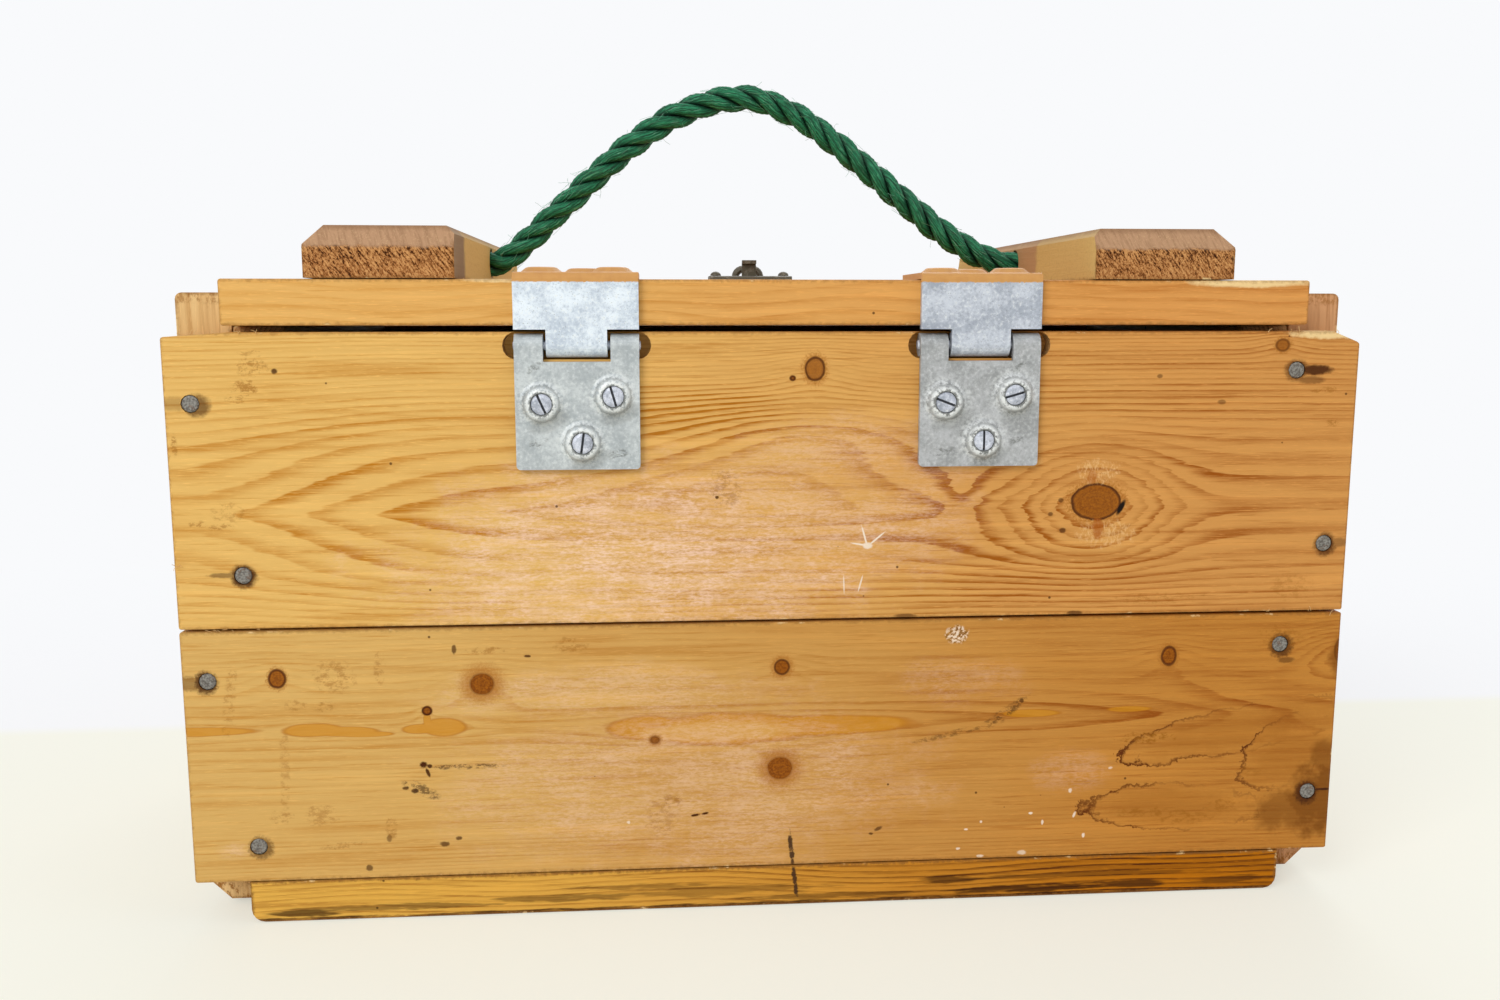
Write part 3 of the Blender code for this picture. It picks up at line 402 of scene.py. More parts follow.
def ring_height(finish, place, board):
    """The board's contour height, counted in rings."""
    along, across, depth = split(finish, place)
    seed = board["seed"]
    waver = noise(finish, place, 1.0, 1.0, stretch=WAVER_GRAIN, shift=seed) - 0.5
    ragged = noise(finish, place, 1.0, 2.0, stretch=RAGGED_GRAIN, shift=seed + 3.1) - 0.5
    tooth = noise(finish, place, 1.0, 2.0, 0.6, stretch=TOOTH_GRAIN, shift=seed + 6.3) - 0.5
    torn = combine(finish, along + tooth * TOOTH_REACH, across, 0.0)
    off_middle = across - board["middle"] + waver * board.get("waver", 10.0)
    height = depth * board.get("through", 0.12) + ragged * RAGGED_RINGS
    for way, (first, more) in ((1, board["above"]), (-1, board["below"])):
        side = off_middle.math("SMOOTH_MAX", off_middle * way, 0.0, RIDGE_ROUND)
        outer = side.math("MAXIMUM", side - board.get("flat", 0.0), 0.0)
        height = height + side * first + outer * outer * more
    for middle_along, middle_across, half_length, half_height, rings in board["hills"]:
        far = reach(finish, torn, (middle_along, middle_across), (half_length, half_height))
        height = height.math("MULTIPLY_ADD", FADE**far, rings, height)
    return height


def late_wood(finish, height):
    """The dark part of each ring: it swells slowly and ends at once. Every ring has its own strength."""
    phase = height.math("FRACT", height)
    ring = height.math("FLOOR", height)
    own = finish.node("ShaderNodeTexWhiteNoise", {"noise_dimensions": "1D"}, {"W": ring}, output="Value")
    return step(phase, LATE_FROM, LATE_PEAK) * step(phase, 1.0, LATE_PEAK) * (own * 0.75 + 0.5)


def grain_strength(finish, place, board):
    """How strongly the rings show: a base with a slow drift, and the places where they are bold."""
    drift = noise(finish, place, 1.0, 2.0, stretch=DRIFT_GRAIN, shift=board["seed"] + 4.4) - 0.5
    strength = drift * 0.8 + board.get("grain", 0.5)
    for along, across, half_length, half_height, gain in board.get("bold", []):
        far = reach(finish, place, (along, across), (half_length, half_height))
        strength = strength.math("MULTIPLY_ADD", FADE**far, gain, strength)
    return strength.math("MAXIMUM", strength, FAINTEST_GRAIN)


print("rings ready")

# %% [markdown]
# Between the rings there is more to see: long streaks a few millimetres wide, fibres as fine as a hair,
# and on the sawn ends a stipple of open pores. Each is one noise, stretched along the grain by its own
# amount.

# %% Streaks, fibres and end grain
CLOUD_GRAIN = (0.012, 0.03, 0.03)
STREAK_GRAIN = (0.010, 0.22, 0.22)
FIBRE_GRAIN = (0.035, 1.1, 1.1)
FINE_GRAIN = (0.2, 2.6, 2.6)
TONE_AND_SHADE_SPAN = (-200, 190)
TONE_AND_SHADE_BLUR = 160
PALE_GAIN = 1.22
END_WOOD = rgb(196, 150, 96)
END_LATE = rgb(140, 92, 46)
PORE = rgb(116, 74, 36)


def end_grain(finish, place, board):
    """The mask of a board's sawn ends, their colour and their stipple."""
    looks = dict(zip("XYZ", facing(finish)))
    mask = step(abs(looks[board["axes"][0]]), 0.6, 0.85)
    _, across, depth = split(finish, place)
    drift = noise(finish, place, 0.03, 2.0, shift=board["seed"])
    arcs = late_wood(finish, (across * across + depth * depth * 2.5) ** 0.5 * 0.45 + drift * 3)
    stipple = noise(finish, place, 1.4, 3.0, 0.7, shift=board["seed"])
    colour = blend(arcs * 0.7, END_WOOD, END_LATE)
    return mask, blend(step(stipple, 0.5, 0.7) * 0.5, colour, PORE), stipple


def pine(node_name, board, tones):
    """A pine finish. Returns what later layers need: the finish, its place, its colour and its relief."""
    finish = Finish(f"{node_name}_pine")
    place = board_axes(finish, *board["axes"])
    seed = board["seed"]
    late = late_wood(finish, ring_height(finish, place, board))
    cloud = noise(finish, place, 1.0, 3.0, stretch=CLOUD_GRAIN, shift=seed + 7.7)
    streak = noise(finish, place, 1.0, 3.0, 0.55, stretch=STREAK_GRAIN, shift=seed + 9.1)
    fibre = noise(finish, place, 1.0, 3.0, 0.65, stretch=FIBRE_GRAIN, shift=seed + 1.3)
    fine = noise(finish, place, 1.0, 2.0, 0.6, stretch=FINE_GRAIN, shift=seed + 5.9)
    run = split(finish, place)[0]
    # From its left end to its right end each board turns darker: partly the wood's own tone, partly
    # painted shade, as the light falls from the left.
    right_tone_and_shade = step(run + (cloud - 0.5) * TONE_AND_SHADE_BLUR, *TONE_AND_SHADE_SPAN)
    early = blend(right_tone_and_shade, *tones["early"])
    dark = blend(right_tone_and_shade, *tones["late"])
    pale = finish.node("ShaderNodeVectorMath", {"operation": "SCALE"}, {0: early, "Scale": PALE_GAIN})
    show = late * grain_strength(finish, place, board) * (step(fibre, 0.30, 0.66, 0.6) + 0.4)
    colour = blend(show, early, dark)
    colour = blend(step(streak, 0.50, 0.74, 0.42), colour, dark)
    colour = blend(step(streak, 0.47, 0.27, 0.50), colour, pale)
    colour = blend(step(fibre, 0.54, 0.74, 0.50), colour, dark)
    colour = blend(step(fine, 0.46, 0.26, 0.50), colour, pale)
    ends, end_colour, stipple = end_grain(finish, place, board)
    colour = blend(ends, colour, end_colour)
    relief = show * 0.35 + fibre * 0.5 + fine * 0.25 + ends * stipple * 2.0
    return finish, place, colour, relief


print("wood ready")

# %% [markdown]
# A knot is a branch cut through: a brown oval with faint rings of its own, a thin dark rim, and a stain
# round it. A mark is a stain, a smudge or a scratch on the surface. Both lie on the face as ellipses with
# a ragged edge.

# %% Knots and marks
KNOT_HEART = rgb(110, 51, 0)
KNOT_PALE = rgb(160, 91, 10)
KNOT_RIM = rgb(62, 20, 2)
KNOT_STAIN = rgb(168, 104, 34)
PALE_WEAR_AND_GLARE = rgb(246, 213, 194)
RIM_WIDTH = 0.42


def add_knots(finish, colour, place, knots):
    """Knots: each has a place, half sizes, a depth of colour, the rim's darkness and the stain's reach."""
    lumps = noise(finish, place, 0.28, 2.0) - 0.5
    speckle = noise(finish, place, 1.1, 3.0, 0.7)
    for along, across, half_length, half_height, depth, rim, stain in knots:
        far = reach(finish, place, (along, across), (half_length, half_height)) ** 0.5 + lumps * 0.2
        thin = RIM_WIDTH / min(half_length, half_height)
        burst = far + (speckle - 0.5) * 1.6
        colour = blend(step(burst, 1.1 + stain, 0.95, 0.75), colour, KNOT_STAIN)
        rings = far.math("FRACT", far * (0.35 * max(half_length, half_height)))
        heart = blend(step(speckle, 0.35, 0.65) * 0.6 + rings * 0.35, KNOT_HEART, KNOT_PALE)
        colour = blend(step(far, 1.02, 0.90, depth), colour, heart)
        edge = step(far, 1.0 - 2.0 * thin, 1.0 - 0.4 * thin)
        edge = edge * step(far, 1.0 + 1.2 * thin, 1.0 + 0.2 * thin)
        colour = blend(edge * (speckle * 0.5 + 0.65) * rim, colour, KNOT_RIM)
    return colour


def add_marks(finish, colour, place, tone, ellipses, ragged=0.35, grain=0.5, streak=1.0):
    """Marks of one tone on a board."""
    return blend(spots(finish, place, ellipses, ragged, grain, streak), colour, tone)


def add_dirt(finish, colour, place, tone, ellipses, ragged=0.9):
    """Dirt rubbed into the wood: marks that are broken into crumbs."""
    crumbs = step(noise(finish, place, 0.45, 4.0, 0.8, stretch=(0.6, 1, 1), shift=2.7), 0.44, 0.60)
    return blend(spots(finish, place, ellipses, ragged, grain=0.4) * crumbs, colour, tone)


def rub_pale_and_glare(finish, colour, place, ellipses, strength):
    """Pale patches, worn pale and on the upper board also a painted reflection of the light: soft in
    outline and broken into fine strokes along the grain.
    """
    veil = spots(finish, place, ellipses, ragged=1.2, grain=0.05, soft=1.6)
    rubbed = noise(finish, place, 1.0, 4.0, 0.7, stretch=(0.10, 0.5, 0.5))
    sanded = noise(finish, place, 1.0, 3.0, 0.7, stretch=(0.45, 1.3, 1.3), shift=8.8)
    return blend(veil * step(rubbed * 0.5 + sanded * 0.5, 0.38, 0.64, strength), colour, PALE_WEAR_AND_GLARE)


def edge_nearness(finish, node_name, width):
    """1 on a board's edges and 0 further in than the width, on any of its faces."""
    place = millimetres(finish)
    gaps = []
    for value, low, high in zip(split(finish, place), *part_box(node_name)):
        gaps.append(value.math("MINIMUM", value - low * PER_METRE, high * PER_METRE - value))
    least = gaps[0].math("MINIMUM", gaps[0], gaps[1])
    most = gaps[0].math("MAXIMUM", gaps[0], gaps[1])
    second = least.math("MAXIMUM", least, most.math("MINIMUM", most, gaps[2]))
    ragged = noise(finish, place, 0.45, 3.0, 0.65) - 0.5
    return step(second + ragged * (width * 2.2), width, 0.0)


print("knots and marks ready")

# %% [markdown]
# Handling leaves its own layer on the wood: grime along the edges, pale chips where an edge was knocked,
# and specks of dirt. The same closing function puts them on every board, with a satin gloss and the
# relief of the grain.

# %% The last layer of a board
EDGE_GRIME = rgb(130, 86, 40)
CHIP = rgb(238, 206, 148)
SPECK = rgb(70, 38, 12)
WOOD_SHINE = 0.10
GRIME_WIDTH = 1.4
CHIP_WIDTH = 0.9
GRAIN_RELIEF = 0.0004


def finish_pine(finish, node_name, colour, relief, roughness=0.5, grime=0.5):
    """Close a pine finish and put it on its board."""
    place = millimetres(finish)
    colour = blend(edge_nearness(finish, node_name, GRIME_WIDTH) * grime, colour, EDGE_GRIME)
    chipped = step(noise(finish, place, 0.10, 4.0, 0.7, shift=3.3), 0.58, 0.66)
    colour = blend(edge_nearness(finish, node_name, CHIP_WIDTH) * chipped * 0.8, colour, CHIP)
    scatter = {"Vector": place, "Scale": 0.085, "Randomness": 1.0}
    cells = finish.node("ShaderNodeTexVoronoi", sockets=scatter)
    chance, size, _ = split(finish, cells.out("Color"))
    dot = step(cells.out("Distance") - size * size * 0.06, 0.035, 0.015) * step(chance, 0.64, 0.66)
    colour = blend(dot * 0.8, colour, SPECK)
    gloss = noise(finish, place, 0.03, 3.0)
    finish.surface(
        Base_Color=colour,
        Roughness=gloss * 0.24 + (roughness - 0.12),
        Specular_IOR_Level=WOOD_SHINE,
        Normal=bump(finish, relief, 0.4, GRAIN_RELIEF),
    )
    finish.wear(node_name)


print("board finish ready")

# %% [markdown]
# ## The upper board of the hinge side
# This is the board that the photograph shows best. Its rings point to the left in three flames, close to
# ovals in the middle, and swirl round a large knot on the right. The hills below put each of these where
# it is, in millimetres.

# %% Upper board: flames, ovals and the large knot
# Each tone is a pair for the left and the right end; the darker right one is partly painted shade.
PINE_TONES = {
    "early": (rgb(223, 179, 102), rgb(206, 146, 77)),
    "late": (rgb(186, 120, 26), rgb(152, 80, 12)),
}

upper_board = {
    "axes": "XZY",
    "middle": 159.0,
    "flat": 18.0,
    "above": (0.115, 0.0060),
    "below": (0.115, 0.0075),
    "waver": 4.0,
    "hills": [
        (-228, 159, 75, 60, 3.6),
        (-12, 167, 50, 13, -2.2),
        (10, 190, 50, 14, -3.6),
        (122.9, 160.6, 27, 22, -5.0),
        (104, 142, 44, 12, -1.4),
        (70, 163, 9, 10, 1.0),
        (13, 212, 16, 9, -2.4),
        (194, 221, 10, 6, -1.6),
    ],
    "grain": 0.46,
    "bold": [
        (-150, 162, 62, 24, 1.05),
        (-32, 194, 34, 11, 2.30),
        (0, 168, 60, 18, 0.30),
        (92, 146, 50, 24, 0.90),
        (66, 166, 20, 14, 1.00),
        (168, 166, 20, 22, 0.60),
        (140, 206, 70, 16, 0.50),
        (110, 130, 90, 10, 0.55),
        (-60, 136, 60, 14, -0.40),
    ],
    "seed": 2.0,
}
UPPER_KNOTS = [
    (122.9, 160.6, 9.6, 7.0, 0.80, 0.95, 0.30),
    (13.0, 212.2, 3.6, 4.3, 0.55, 0.90, 0.60),
    (4.6, 208.8, 0.9, 0.8, 0.80, 0.90, 0.50),
    (194.0, 220.8, 2.6, 2.3, 0.60, 0.60, 0.60),
]
finish, place, colour, relief = pine("rear_upper_board", upper_board, PINE_TONES)
colour = add_knots(finish, colour, place, UPPER_KNOTS)
print("upper board grained")

# %% [markdown]
# The wood carries its history: rust and dirt along the grain beside each nail, with a painted shadow at
# the side of each head, smudges, a pale patch in the middle that is partly rubbed wood and partly a
# painted reflection of the light, torn fibres above and below the knot with painted shade in a crack at
# its edge, and a few scratches down to the white.

# %% Upper board: stains and painted nail shadows, the pale patch with painted glare, and scratches
NAIL_STAIN_AND_SHADOW = rgb(70, 32, 4)
SMUDGE = rgb(146, 88, 14)
TORN = rgb(230, 188, 130)
SCRATCH = rgb(240, 224, 204)
RESIN = rgb(164, 84, 16)
CRACK_SHADE_BLACK = rgb(24, 14, 8)

# A pale patch: partly rubbed wood, partly a painted reflection of the light in the middle of the board.
UPPER_WEAR_AND_GLARE = [
    (-50, 141, 72, 28, 1.0),
    (2, 153, 52, 17, 0.7),
    (-92, 128, 40, 14, 0.6),
    (30, 180, 40, 12, 0.4),
]
colour = rub_pale_and_glare(finish, colour, place, UPPER_WEAR_AND_GLARE, strength=0.74)
# Dark brown stains beside the nails; the larger ellipses round the heads also carry a painted shadow on
# their right and lower side.
UPPER_NAIL_STAINS_AND_SHADOWS = [
    (-221, 200.3, 5.0, 2.6, 0.35),
    (-213.0, 199.6, 4.4, 4.0, 0.75),
    (-200.0, 136.0, 4.5, 4.4, 0.95),
    (-207, 136.6, 6.0, 0.9, 0.60),
    (200.0, 211.0, 4.6, 4.0, 0.75),
    (207.5, 211.2, 6.5, 2.0, 0.95),
    (206, 207.4, 5.5, 1.5, 0.55),
    (216.0, 142.6, 4.4, 4.4, 0.85),
    (221.5, 143.4, 3.5, 1.8, 0.50),
    (-185, 212, 1.1, 1.0, 0.90),
    (146, 209, 1.1, 0.8, 0.60),
    (171, 199, 1.6, 0.9, 0.55),
    (-24, 164, 0.7, 0.6, 0.90),
    (109, 161.4, 1.0, 0.9, 0.70),
    (105, 156, 1.0, 0.8, 0.70),
    (110, 149.6, 1.3, 1.0, 0.80),
    (49, 116.8, 4.0, 0.8, 0.70),
    (116, 116.8, 3.0, 0.8, 0.80),
]
colour = add_marks(finish, colour, place, NAIL_STAIN_AND_SHADOW, UPPER_NAIL_STAINS_AND_SHADOWS)
UPPER_SMUDGES = [
    (-192, 218.4, 5.0, 1.0, 0.40),
    (-193, 213.4, 5.0, 3.0, 0.55),
    (-196, 206.0, 4.5, 3.0, 0.60),
    (-199, 202.0, 4.0, 1.4, 0.60),
    (-204, 160, 6.0, 3.5, 0.35),
    (-207, 154.6, 4.0, 1.4, 0.55),
    (-215, 156, 3.4, 1.2, 0.55),
    (-222, 185, 1.0, 4.0, 0.60),
    (-21, 167, 6.0, 7.0, 0.45, -10),
    (203, 126, 8.0, 5.0, 0.30),
    (216, 191, 2.4, 1.6, 0.60),
    (212, 203.5, 5.0, 1.2, 0.50),
    (60, 205, 5.0, 1.4, 0.50),
    (150, 122, 16, 2.0, 0.35),
]
colour = add_dirt(finish, colour, place, SMUDGE, UPPER_SMUDGES)
TORN_PLACES = [(127, 148, 11, 5.0, 0.9), (123, 172.5, 8, 4.5, 0.9), (96, 177, 6, 2, 0.5)]
RESIN_DROPS = [(124, 150.5, 2.2, 4.0, 0.7), (121, 170.5, 2.0, 2.6, 0.5)]
UPPER_CHIPS = [(213, 225.0, 16, 1.8, 0.95), (-222, 226, 4, 1.2, 0.8)]
# A thin crack at the knot's right edge, painted near black as painted shade.
KNOT_CRACK_SHADE = [(132.9, 158.4, 1.0, 3.2, 1.0, -28)]
strokes = noise(finish, place, 1.0, 4.0, 0.75, stretch=(0.9, 0.5, 0.5), shift=1.9)
torn = spots(finish, place, TORN_PLACES, ragged=0.8)
colour = blend(torn * step(strokes, 0.42, 0.64, 0.7), colour, TORN)
colour = add_marks(finish, colour, place, RESIN, RESIN_DROPS, ragged=0.6)
colour = add_marks(finish, colour, place, CHIP, UPPER_CHIPS, ragged=0.5, grain=0.3)
colour = add_marks(finish, colour, place, CRACK_SHADE_BLACK, KNOT_CRACK_SHADE, ragged=0.15)
UPPER_SCRATCHES = [
    (33.8, 144.6, 1.8, 1.2, 0.85),
    (32.6, 148.2, 4.2, 0.34, 0.95, 106),
    (37.2, 147.2, 4.0, 0.34, 0.95, 40),
    (30.6, 145.2, 3.2, 0.34, 0.90, -10),
    (24.8, 129.6, 3.6, 0.28, 0.75, 92),
    (31.2, 129.8, 3.2, 0.32, 0.80, 75),
]
colour = add_marks(finish, colour, place, SCRATCH, UPPER_SCRATCHES, ragged=0.25, grain=0.8)
finish_pine(finish, "rear_upper_board", colour, relief)
print("upper board dressed")

# %% [markdown]
# ## The lower board of the hinge side
# It is plainer: one row of long narrow ovals and flames along its middle, where the saw just touched a
# ring, and eight small knots. Where a ring was cut flat it shows as an ochre island, so those are laid on
# as marks.

# %% Lower board: a row of islands and eight knots
LOWER_TONES = {
    "early": (rgb(211, 169, 98), rgb(189, 127, 52)),
    "late": (rgb(186, 124, 38), rgb(146, 76, 12)),
}
ISLAND = rgb(200, 134, 26)
ISLAND_RIM = rgb(172, 104, 22)
HOLLOW = rgb(216, 168, 96)


def add_islands(finish, colour, place, ellipses):
    """Ochre islands with a thin darker rim. Ellipses that touch run together."""
    land = None
    for along, across, half_length, half_height in ellipses:
        inside = 1 - reach(finish, place, (along, across), (half_length, half_height))
        land = inside if land is None else land.math("SMOOTH_MAX", land, inside, 0.35)
    shore = land + (noise(finish, place, 0.16, 3.0, stretch=(0.5, 1, 1)) - 0.5) * 0.7
    colour = blend(step(shore, -0.10, 0.20, 0.72), colour, ISLAND)
    return blend(step(shore, -0.30, 0.02) * step(shore, 0.34, 0.06, 0.50), colour, ISLAND_RIM)


lower_board = {
    "axes": "XZY",
    "middle": 75.5,
    "flat": 8.0,
    "above": (0.20, 0.0040),
    "below": (0.20, 0.0050),
    "waver": 3.0,
    "hills": [
        (-240, 76, 40, 5, -1.3),
        (-181, 76.6, 11, 4, -1.0),
        (-160, 74.5, 20, 3.5, -0.8),
        (-128, 76.6, 13, 4.5, -1.3),
        (-135, 81.5, 3.5, 4, -0.8),
        (-10, 73.6, 62, 6.5, -1.9),
        (-52, 74.5, 14, 5.0, -0.8),
        (262, 78, 95, 12, 4.6),
        (-190, 97, 12, 8, -1.5),
        (-113.9, 93, 16, 9, -2.5),
        (1, 97, 12, 8, -1.4),
        (0.3, 56.5, 18, 9, -2.4),
        (154.9, 98.6, 12, 9, -1.6),
        (226, 99.7, 16, 12, -3.5),
    ],
    "grain": 0.26,
    "bold": [
        (0, 75.5, 320, 10, 0.60),
        (165, 78, 70, 10, 0.50),
        (222, 98, 14, 12, 0.60),
        (0, 27, 320, 8, 0.15),
    ],
    "seed": 11.0,
}
LOWER_KNOTS = [
    (-190.0, 96.7, 3.1, 3.5, 0.90, 0.85, 0.4),
    (-113.9, 93.0, 4.6, 4.2, 0.95, 0.35, 1.3),
    (-134.9, 82.9, 1.7, 1.6, 0.95, 1.00, 0.4),
    (1.0, 97.3, 2.8, 3.0, 0.95, 0.80, 0.9),
    (-48.4, 69.2, 1.8, 1.5, 0.75, 0.40, 1.0),
    (0.3, 56.5, 5.0, 4.6, 0.95, 0.20, 1.2),
    (154.9, 98.6, 2.9, 3.8, 0.95, 0.80, 0.7),
    (226.0, 99.7, 3.2, 5.0, 0.90, 0.60, 0.8),
]
finish, place, colour, relief = pine("rear_lower_board", lower_board, LOWER_TONES)
ISLANDS = [
    (-222, 76.6, 24, 1.7),
    (-178, 76.3, 11, 2.6),
    (-166, 75.4, 13, 1.9),
    (-158, 74.2, 10, 1.1),
    (-138, 75.8, 6.5, 1.9),
    (-128.7, 76.2, 8.4, 3.5),
    (-135, 79.4, 1.3, 3.0),
    (-52, 74.2, 14, 4.6),
    (-20, 73.0, 34, 6.2),
    (14, 73.6, 39, 4.0),
    (100, 76.4, 12, 1.6),
    (140, 77.2, 9, 1.2),
]
colour = add_islands(finish, colour, place, ISLANDS)
HOLLOWS = [(-24, 72.0, 28, 3.8, 0.6), (-42, 71.6, 12, 3.0, 0.5)]
colour = add_marks(finish, colour, place, HOLLOW, HOLLOWS, ragged=0.25, grain=0.1)
LOWER_RUBBED = [
    (-40, 50, 72, 26, 0.9),
    (-62, 88, 50, 9, 0.8),
    (-99, 91, 9, 4, 1.0),
    (-209, 29, 6, 3, 1.0),
    (70, 90, 20, 8, 0.5),
    (116, 52, 12, 7, 0.5),
]
colour = rub_pale_and_glare(finish, colour, place, LOWER_RUBBED, strength=0.42)
colour = add_knots(finish, colour, place, LOWER_KNOTS)
print("lower board grained")

# %% [markdown]
# This board stood nearest to the ground. It has water stains with a dark tide line at the right, a dark
# corner, a chain of dents that runs on over the bottom board, white specks and a blob of old gum.

# %% Lower board: tide lines, dents, specks and gum
TIDE_LINE = rgb(96, 44, 4)
TIDE_TINT = rgb(160, 98, 28)
CORNER_STAIN = rgb(112, 60, 2)
GREY_SMEAR_AND_GUM_SHADE = rgb(98, 62, 24)
DENT = rgb(66, 42, 26)


def tide(finish, colour, place, middle, half_sizes, tilt):
    """A water stain: a darker ellipse whose ragged edge is a thin dark line, lost at its right end."""
    wander = noise(finish, place, 0.08, 5.0, 0.7) - 0.5
    broken = step(noise(finish, place, 0.07, 3.0, shift=middle[0]), 0.44, 0.60)
    far = reach(finish, place, middle, half_sizes, tilt) ** 0.5 + wander * 1.1
    along, length = middle[0], half_sizes[0]
    lost = step(split(finish, place)[0], along + length * 0.3, along - length * 0.9)
    colour = blend(step(far, 1.0, 0.4, 0.40), colour, TIDE_TINT)
    line = step(far, 0.88, 0.985) * step(far, 1.03, 0.995)
    return blend(line * (lost * 0.75 + broken * 0.30), colour, TIDE_LINE)


TIDES = [((187, 68), (50, 9.5), 11), ((160, 36.5), (36, 10), -2), ((206, 58), (22, 13), 30)]
for middle, half_sizes, tilt in TIDES:
    colour = tide(finish, colour, place, middle, half_sizes, tilt)
LOWER_CORNER = [
    (219, 38, 12, 15, 0.80),
    (208, 33, 16, 8, 0.60),
    (222, 54, 6, 8, 0.60),
    (226, 96, 5, 8, 0.60),
]
colour = add_marks(finish, colour, place, CORNER_STAIN, LOWER_CORNER, ragged=0.7, grain=0.12)
# Dark stains and specks; the ellipses round the nail heads also carry a painted shadow on their right and
# lower side.
LOWER_NAIL_STAINS_AND_SHADOWS = [
    (-216.2, 95.6, 4.4, 4.4, 0.90),
    (-222, 95.4, 6.0, 2.8, 0.50),
    (-199.4, 30.0, 4.6, 4.4, 0.70),
    (200.6, 102.0, 4.8, 4.8, 0.85),
    (203, 96.0, 3.4, 1.2, 0.60),
    (214.8, 40.4, 4.6, 4.8, 0.90),
    (221.5, 41.6, 4.5, 0.5, 1.00),
    (-137.0, 61.6, 1.4, 1.2, 1.00),
    (-134.6, 61.0, 0.9, 0.8, 0.95),
    (-135.4, 58.4, 0.7, 1.7, 0.95, 20),
    (-144, 52.4, 1.2, 0.7, 0.85),
    (-140.6, 51.2, 1.4, 0.9, 0.85),
    (-151, 32.4, 1.0, 1.4, 0.60),
    (-130, 29.4, 1.7, 1.0, 0.80),
    (-124.6, 31.6, 1.2, 0.8, 0.80),
    (-159, 20.6, 1.3, 1.2, 0.75),
    (-124, 106.8, 0.9, 1.7, 0.80),
    (-33, 38.2, 1.7, 0.5, 1.00, 8),
    (-29, 38.8, 1.3, 0.5, 1.00, 10),
    (-96.6, 103.6, 1.3, 0.5, 0.90),
    (39.6, 30.4, 1.7, 0.7, 0.75, 25),
    (36.6, 28.4, 0.9, 0.5, 0.80),
    (96, 81.6, 0.9, 0.8, 0.80),
]
colour = add_marks(finish, colour, place, NAIL_STAIN_AND_SHADOW, LOWER_NAIL_STAINS_AND_SHADOWS, ragged=0.45, grain=0.8)
DENT_TRAIL = [(-122, 60.4, 14, 1.0, 0.80), (-138, 51.6, 7, 2.2, 0.75, -25)]
DENT_CHAIN = [(4.9, 23.0, 7.0, 0.9, 0.95, -84)]
colour = add_dirt(finish, colour, place, DENT, DENT_TRAIL, ragged=0.6)
colour = add_marks(finish, colour, place, DENT, DENT_CHAIN, ragged=1.0, grain=0.7)
LOWER_SMUDGES = [
    (-208, 88, 2.0, 13, 0.40, -8),
    (-189, 60, 1.8, 16, 0.35, -2),
    (-191, 42, 4.0, 2.4, 0.45),
    (-169, 97, 7.0, 6.0, 0.45),
    (-152, 100, 2.0, 6.0, 0.40),
    (-184, 86, 4.0, 2.0, 0.45),
    (-173, 85.6, 4.0, 2.0, 0.50),
    (-80, 107.4, 6.0, 2.6, 0.45),
    (-112, 106, 6.0, 1.6, 0.50),
    (-42, 44.6, 4.0, 2.0, 0.60),
    (-46, 38, 6.0, 8.0, 0.35),
    (-168, 30, 8.0, 1.2, 0.45, 6),
    (-150, 36, 2.0, 4.0, 0.45),
    (-176, 42, 6.0, 4.0, 0.40),
    (150, 34, 14, 2.0, 0.50),
    (165, 31, 10, 2.4, 0.50),
    (180, 36, 7.0, 3.0, 0.45),
    (190, 50, 6.0, 2.0, 0.40),
    (148, 65, 10, 2.4, 0.75),
    (200, 105, 8.0, 5.0, 0.45),
]
colour = add_dirt(finish, colour, place, SMUDGE, LOWER_SMUDGES)
SMEARS = [(90, 77, 10, 2.0, 0.80, 36), (84, 73, 6, 1.6, 0.60, 30), (70, 69.2, 17, 1.2, 0.60, 12)]
GUM_BLOB = [(69.5, 109, 4.4, 3.4, 1.0)]
colour = add_dirt(finish, colour, place, GREY_SMEAR_AND_GUM_SHADE, SMEARS, ragged=0.6)
# The gum blob: its own pale grey-white where its lumps rise, and dark grey-brown between them as painted
# shade.
gum_lumps = noise(finish, place, 0.8, 3.0, 0.6)
gum = spots(finish, place, GUM_BLOB, ragged=0.7, grain=0.35)
colour = blend(gum * step(gum_lumps, 0.54, 0.40, 0.8), colour, GREY_SMEAR_AND_GUM_SHADE)
colour = blend(gum * step(gum_lumps, 0.44, 0.60, 0.8), colour, SCRATCH)
LOWER_SPECKS = [
    (101, 35, 0.8, 0.5, 0.95),
    (119, 34, 0.5, 1.3, 0.85, -20),
    (106, 31, 0.5, 0.9, 0.80),
    (123, 25, 0.6, 0.9, 0.90),
    (75, 29, 0.8, 0.4, 0.90),
    (81, 32, 0.5, 0.5, 0.80),
    (72, 21, 0.8, 0.5, 0.80),
    (81, 17.6, 1.6, 0.5, 0.70),
    (98, 18.6, 1.7, 0.9, 0.60),
    (133, 53, 1.0, 0.5, 0.60),
    (117, 44, 0.7, 0.9, 0.70),
    (-59, 36, 0.7, 0.6, 0.70),
]
colour = add_marks(finish, colour, place, SCRATCH, LOWER_SPECKS, ragged=0.6, grain=0.7)
finish_pine(finish, "rear_lower_board", colour, relief)
print("lower board dressed")

# %% [markdown]
# ## The other boards
# The photograph doesn't show most of them, but they are the same pine, nailed in the same shop. Each has
# its own middle line and slope, and seven of them have a knot, so that no two boards look alike. The
# lid's edge is the plainest wood of all, and dirt has darkened the cleats' feet and tops.

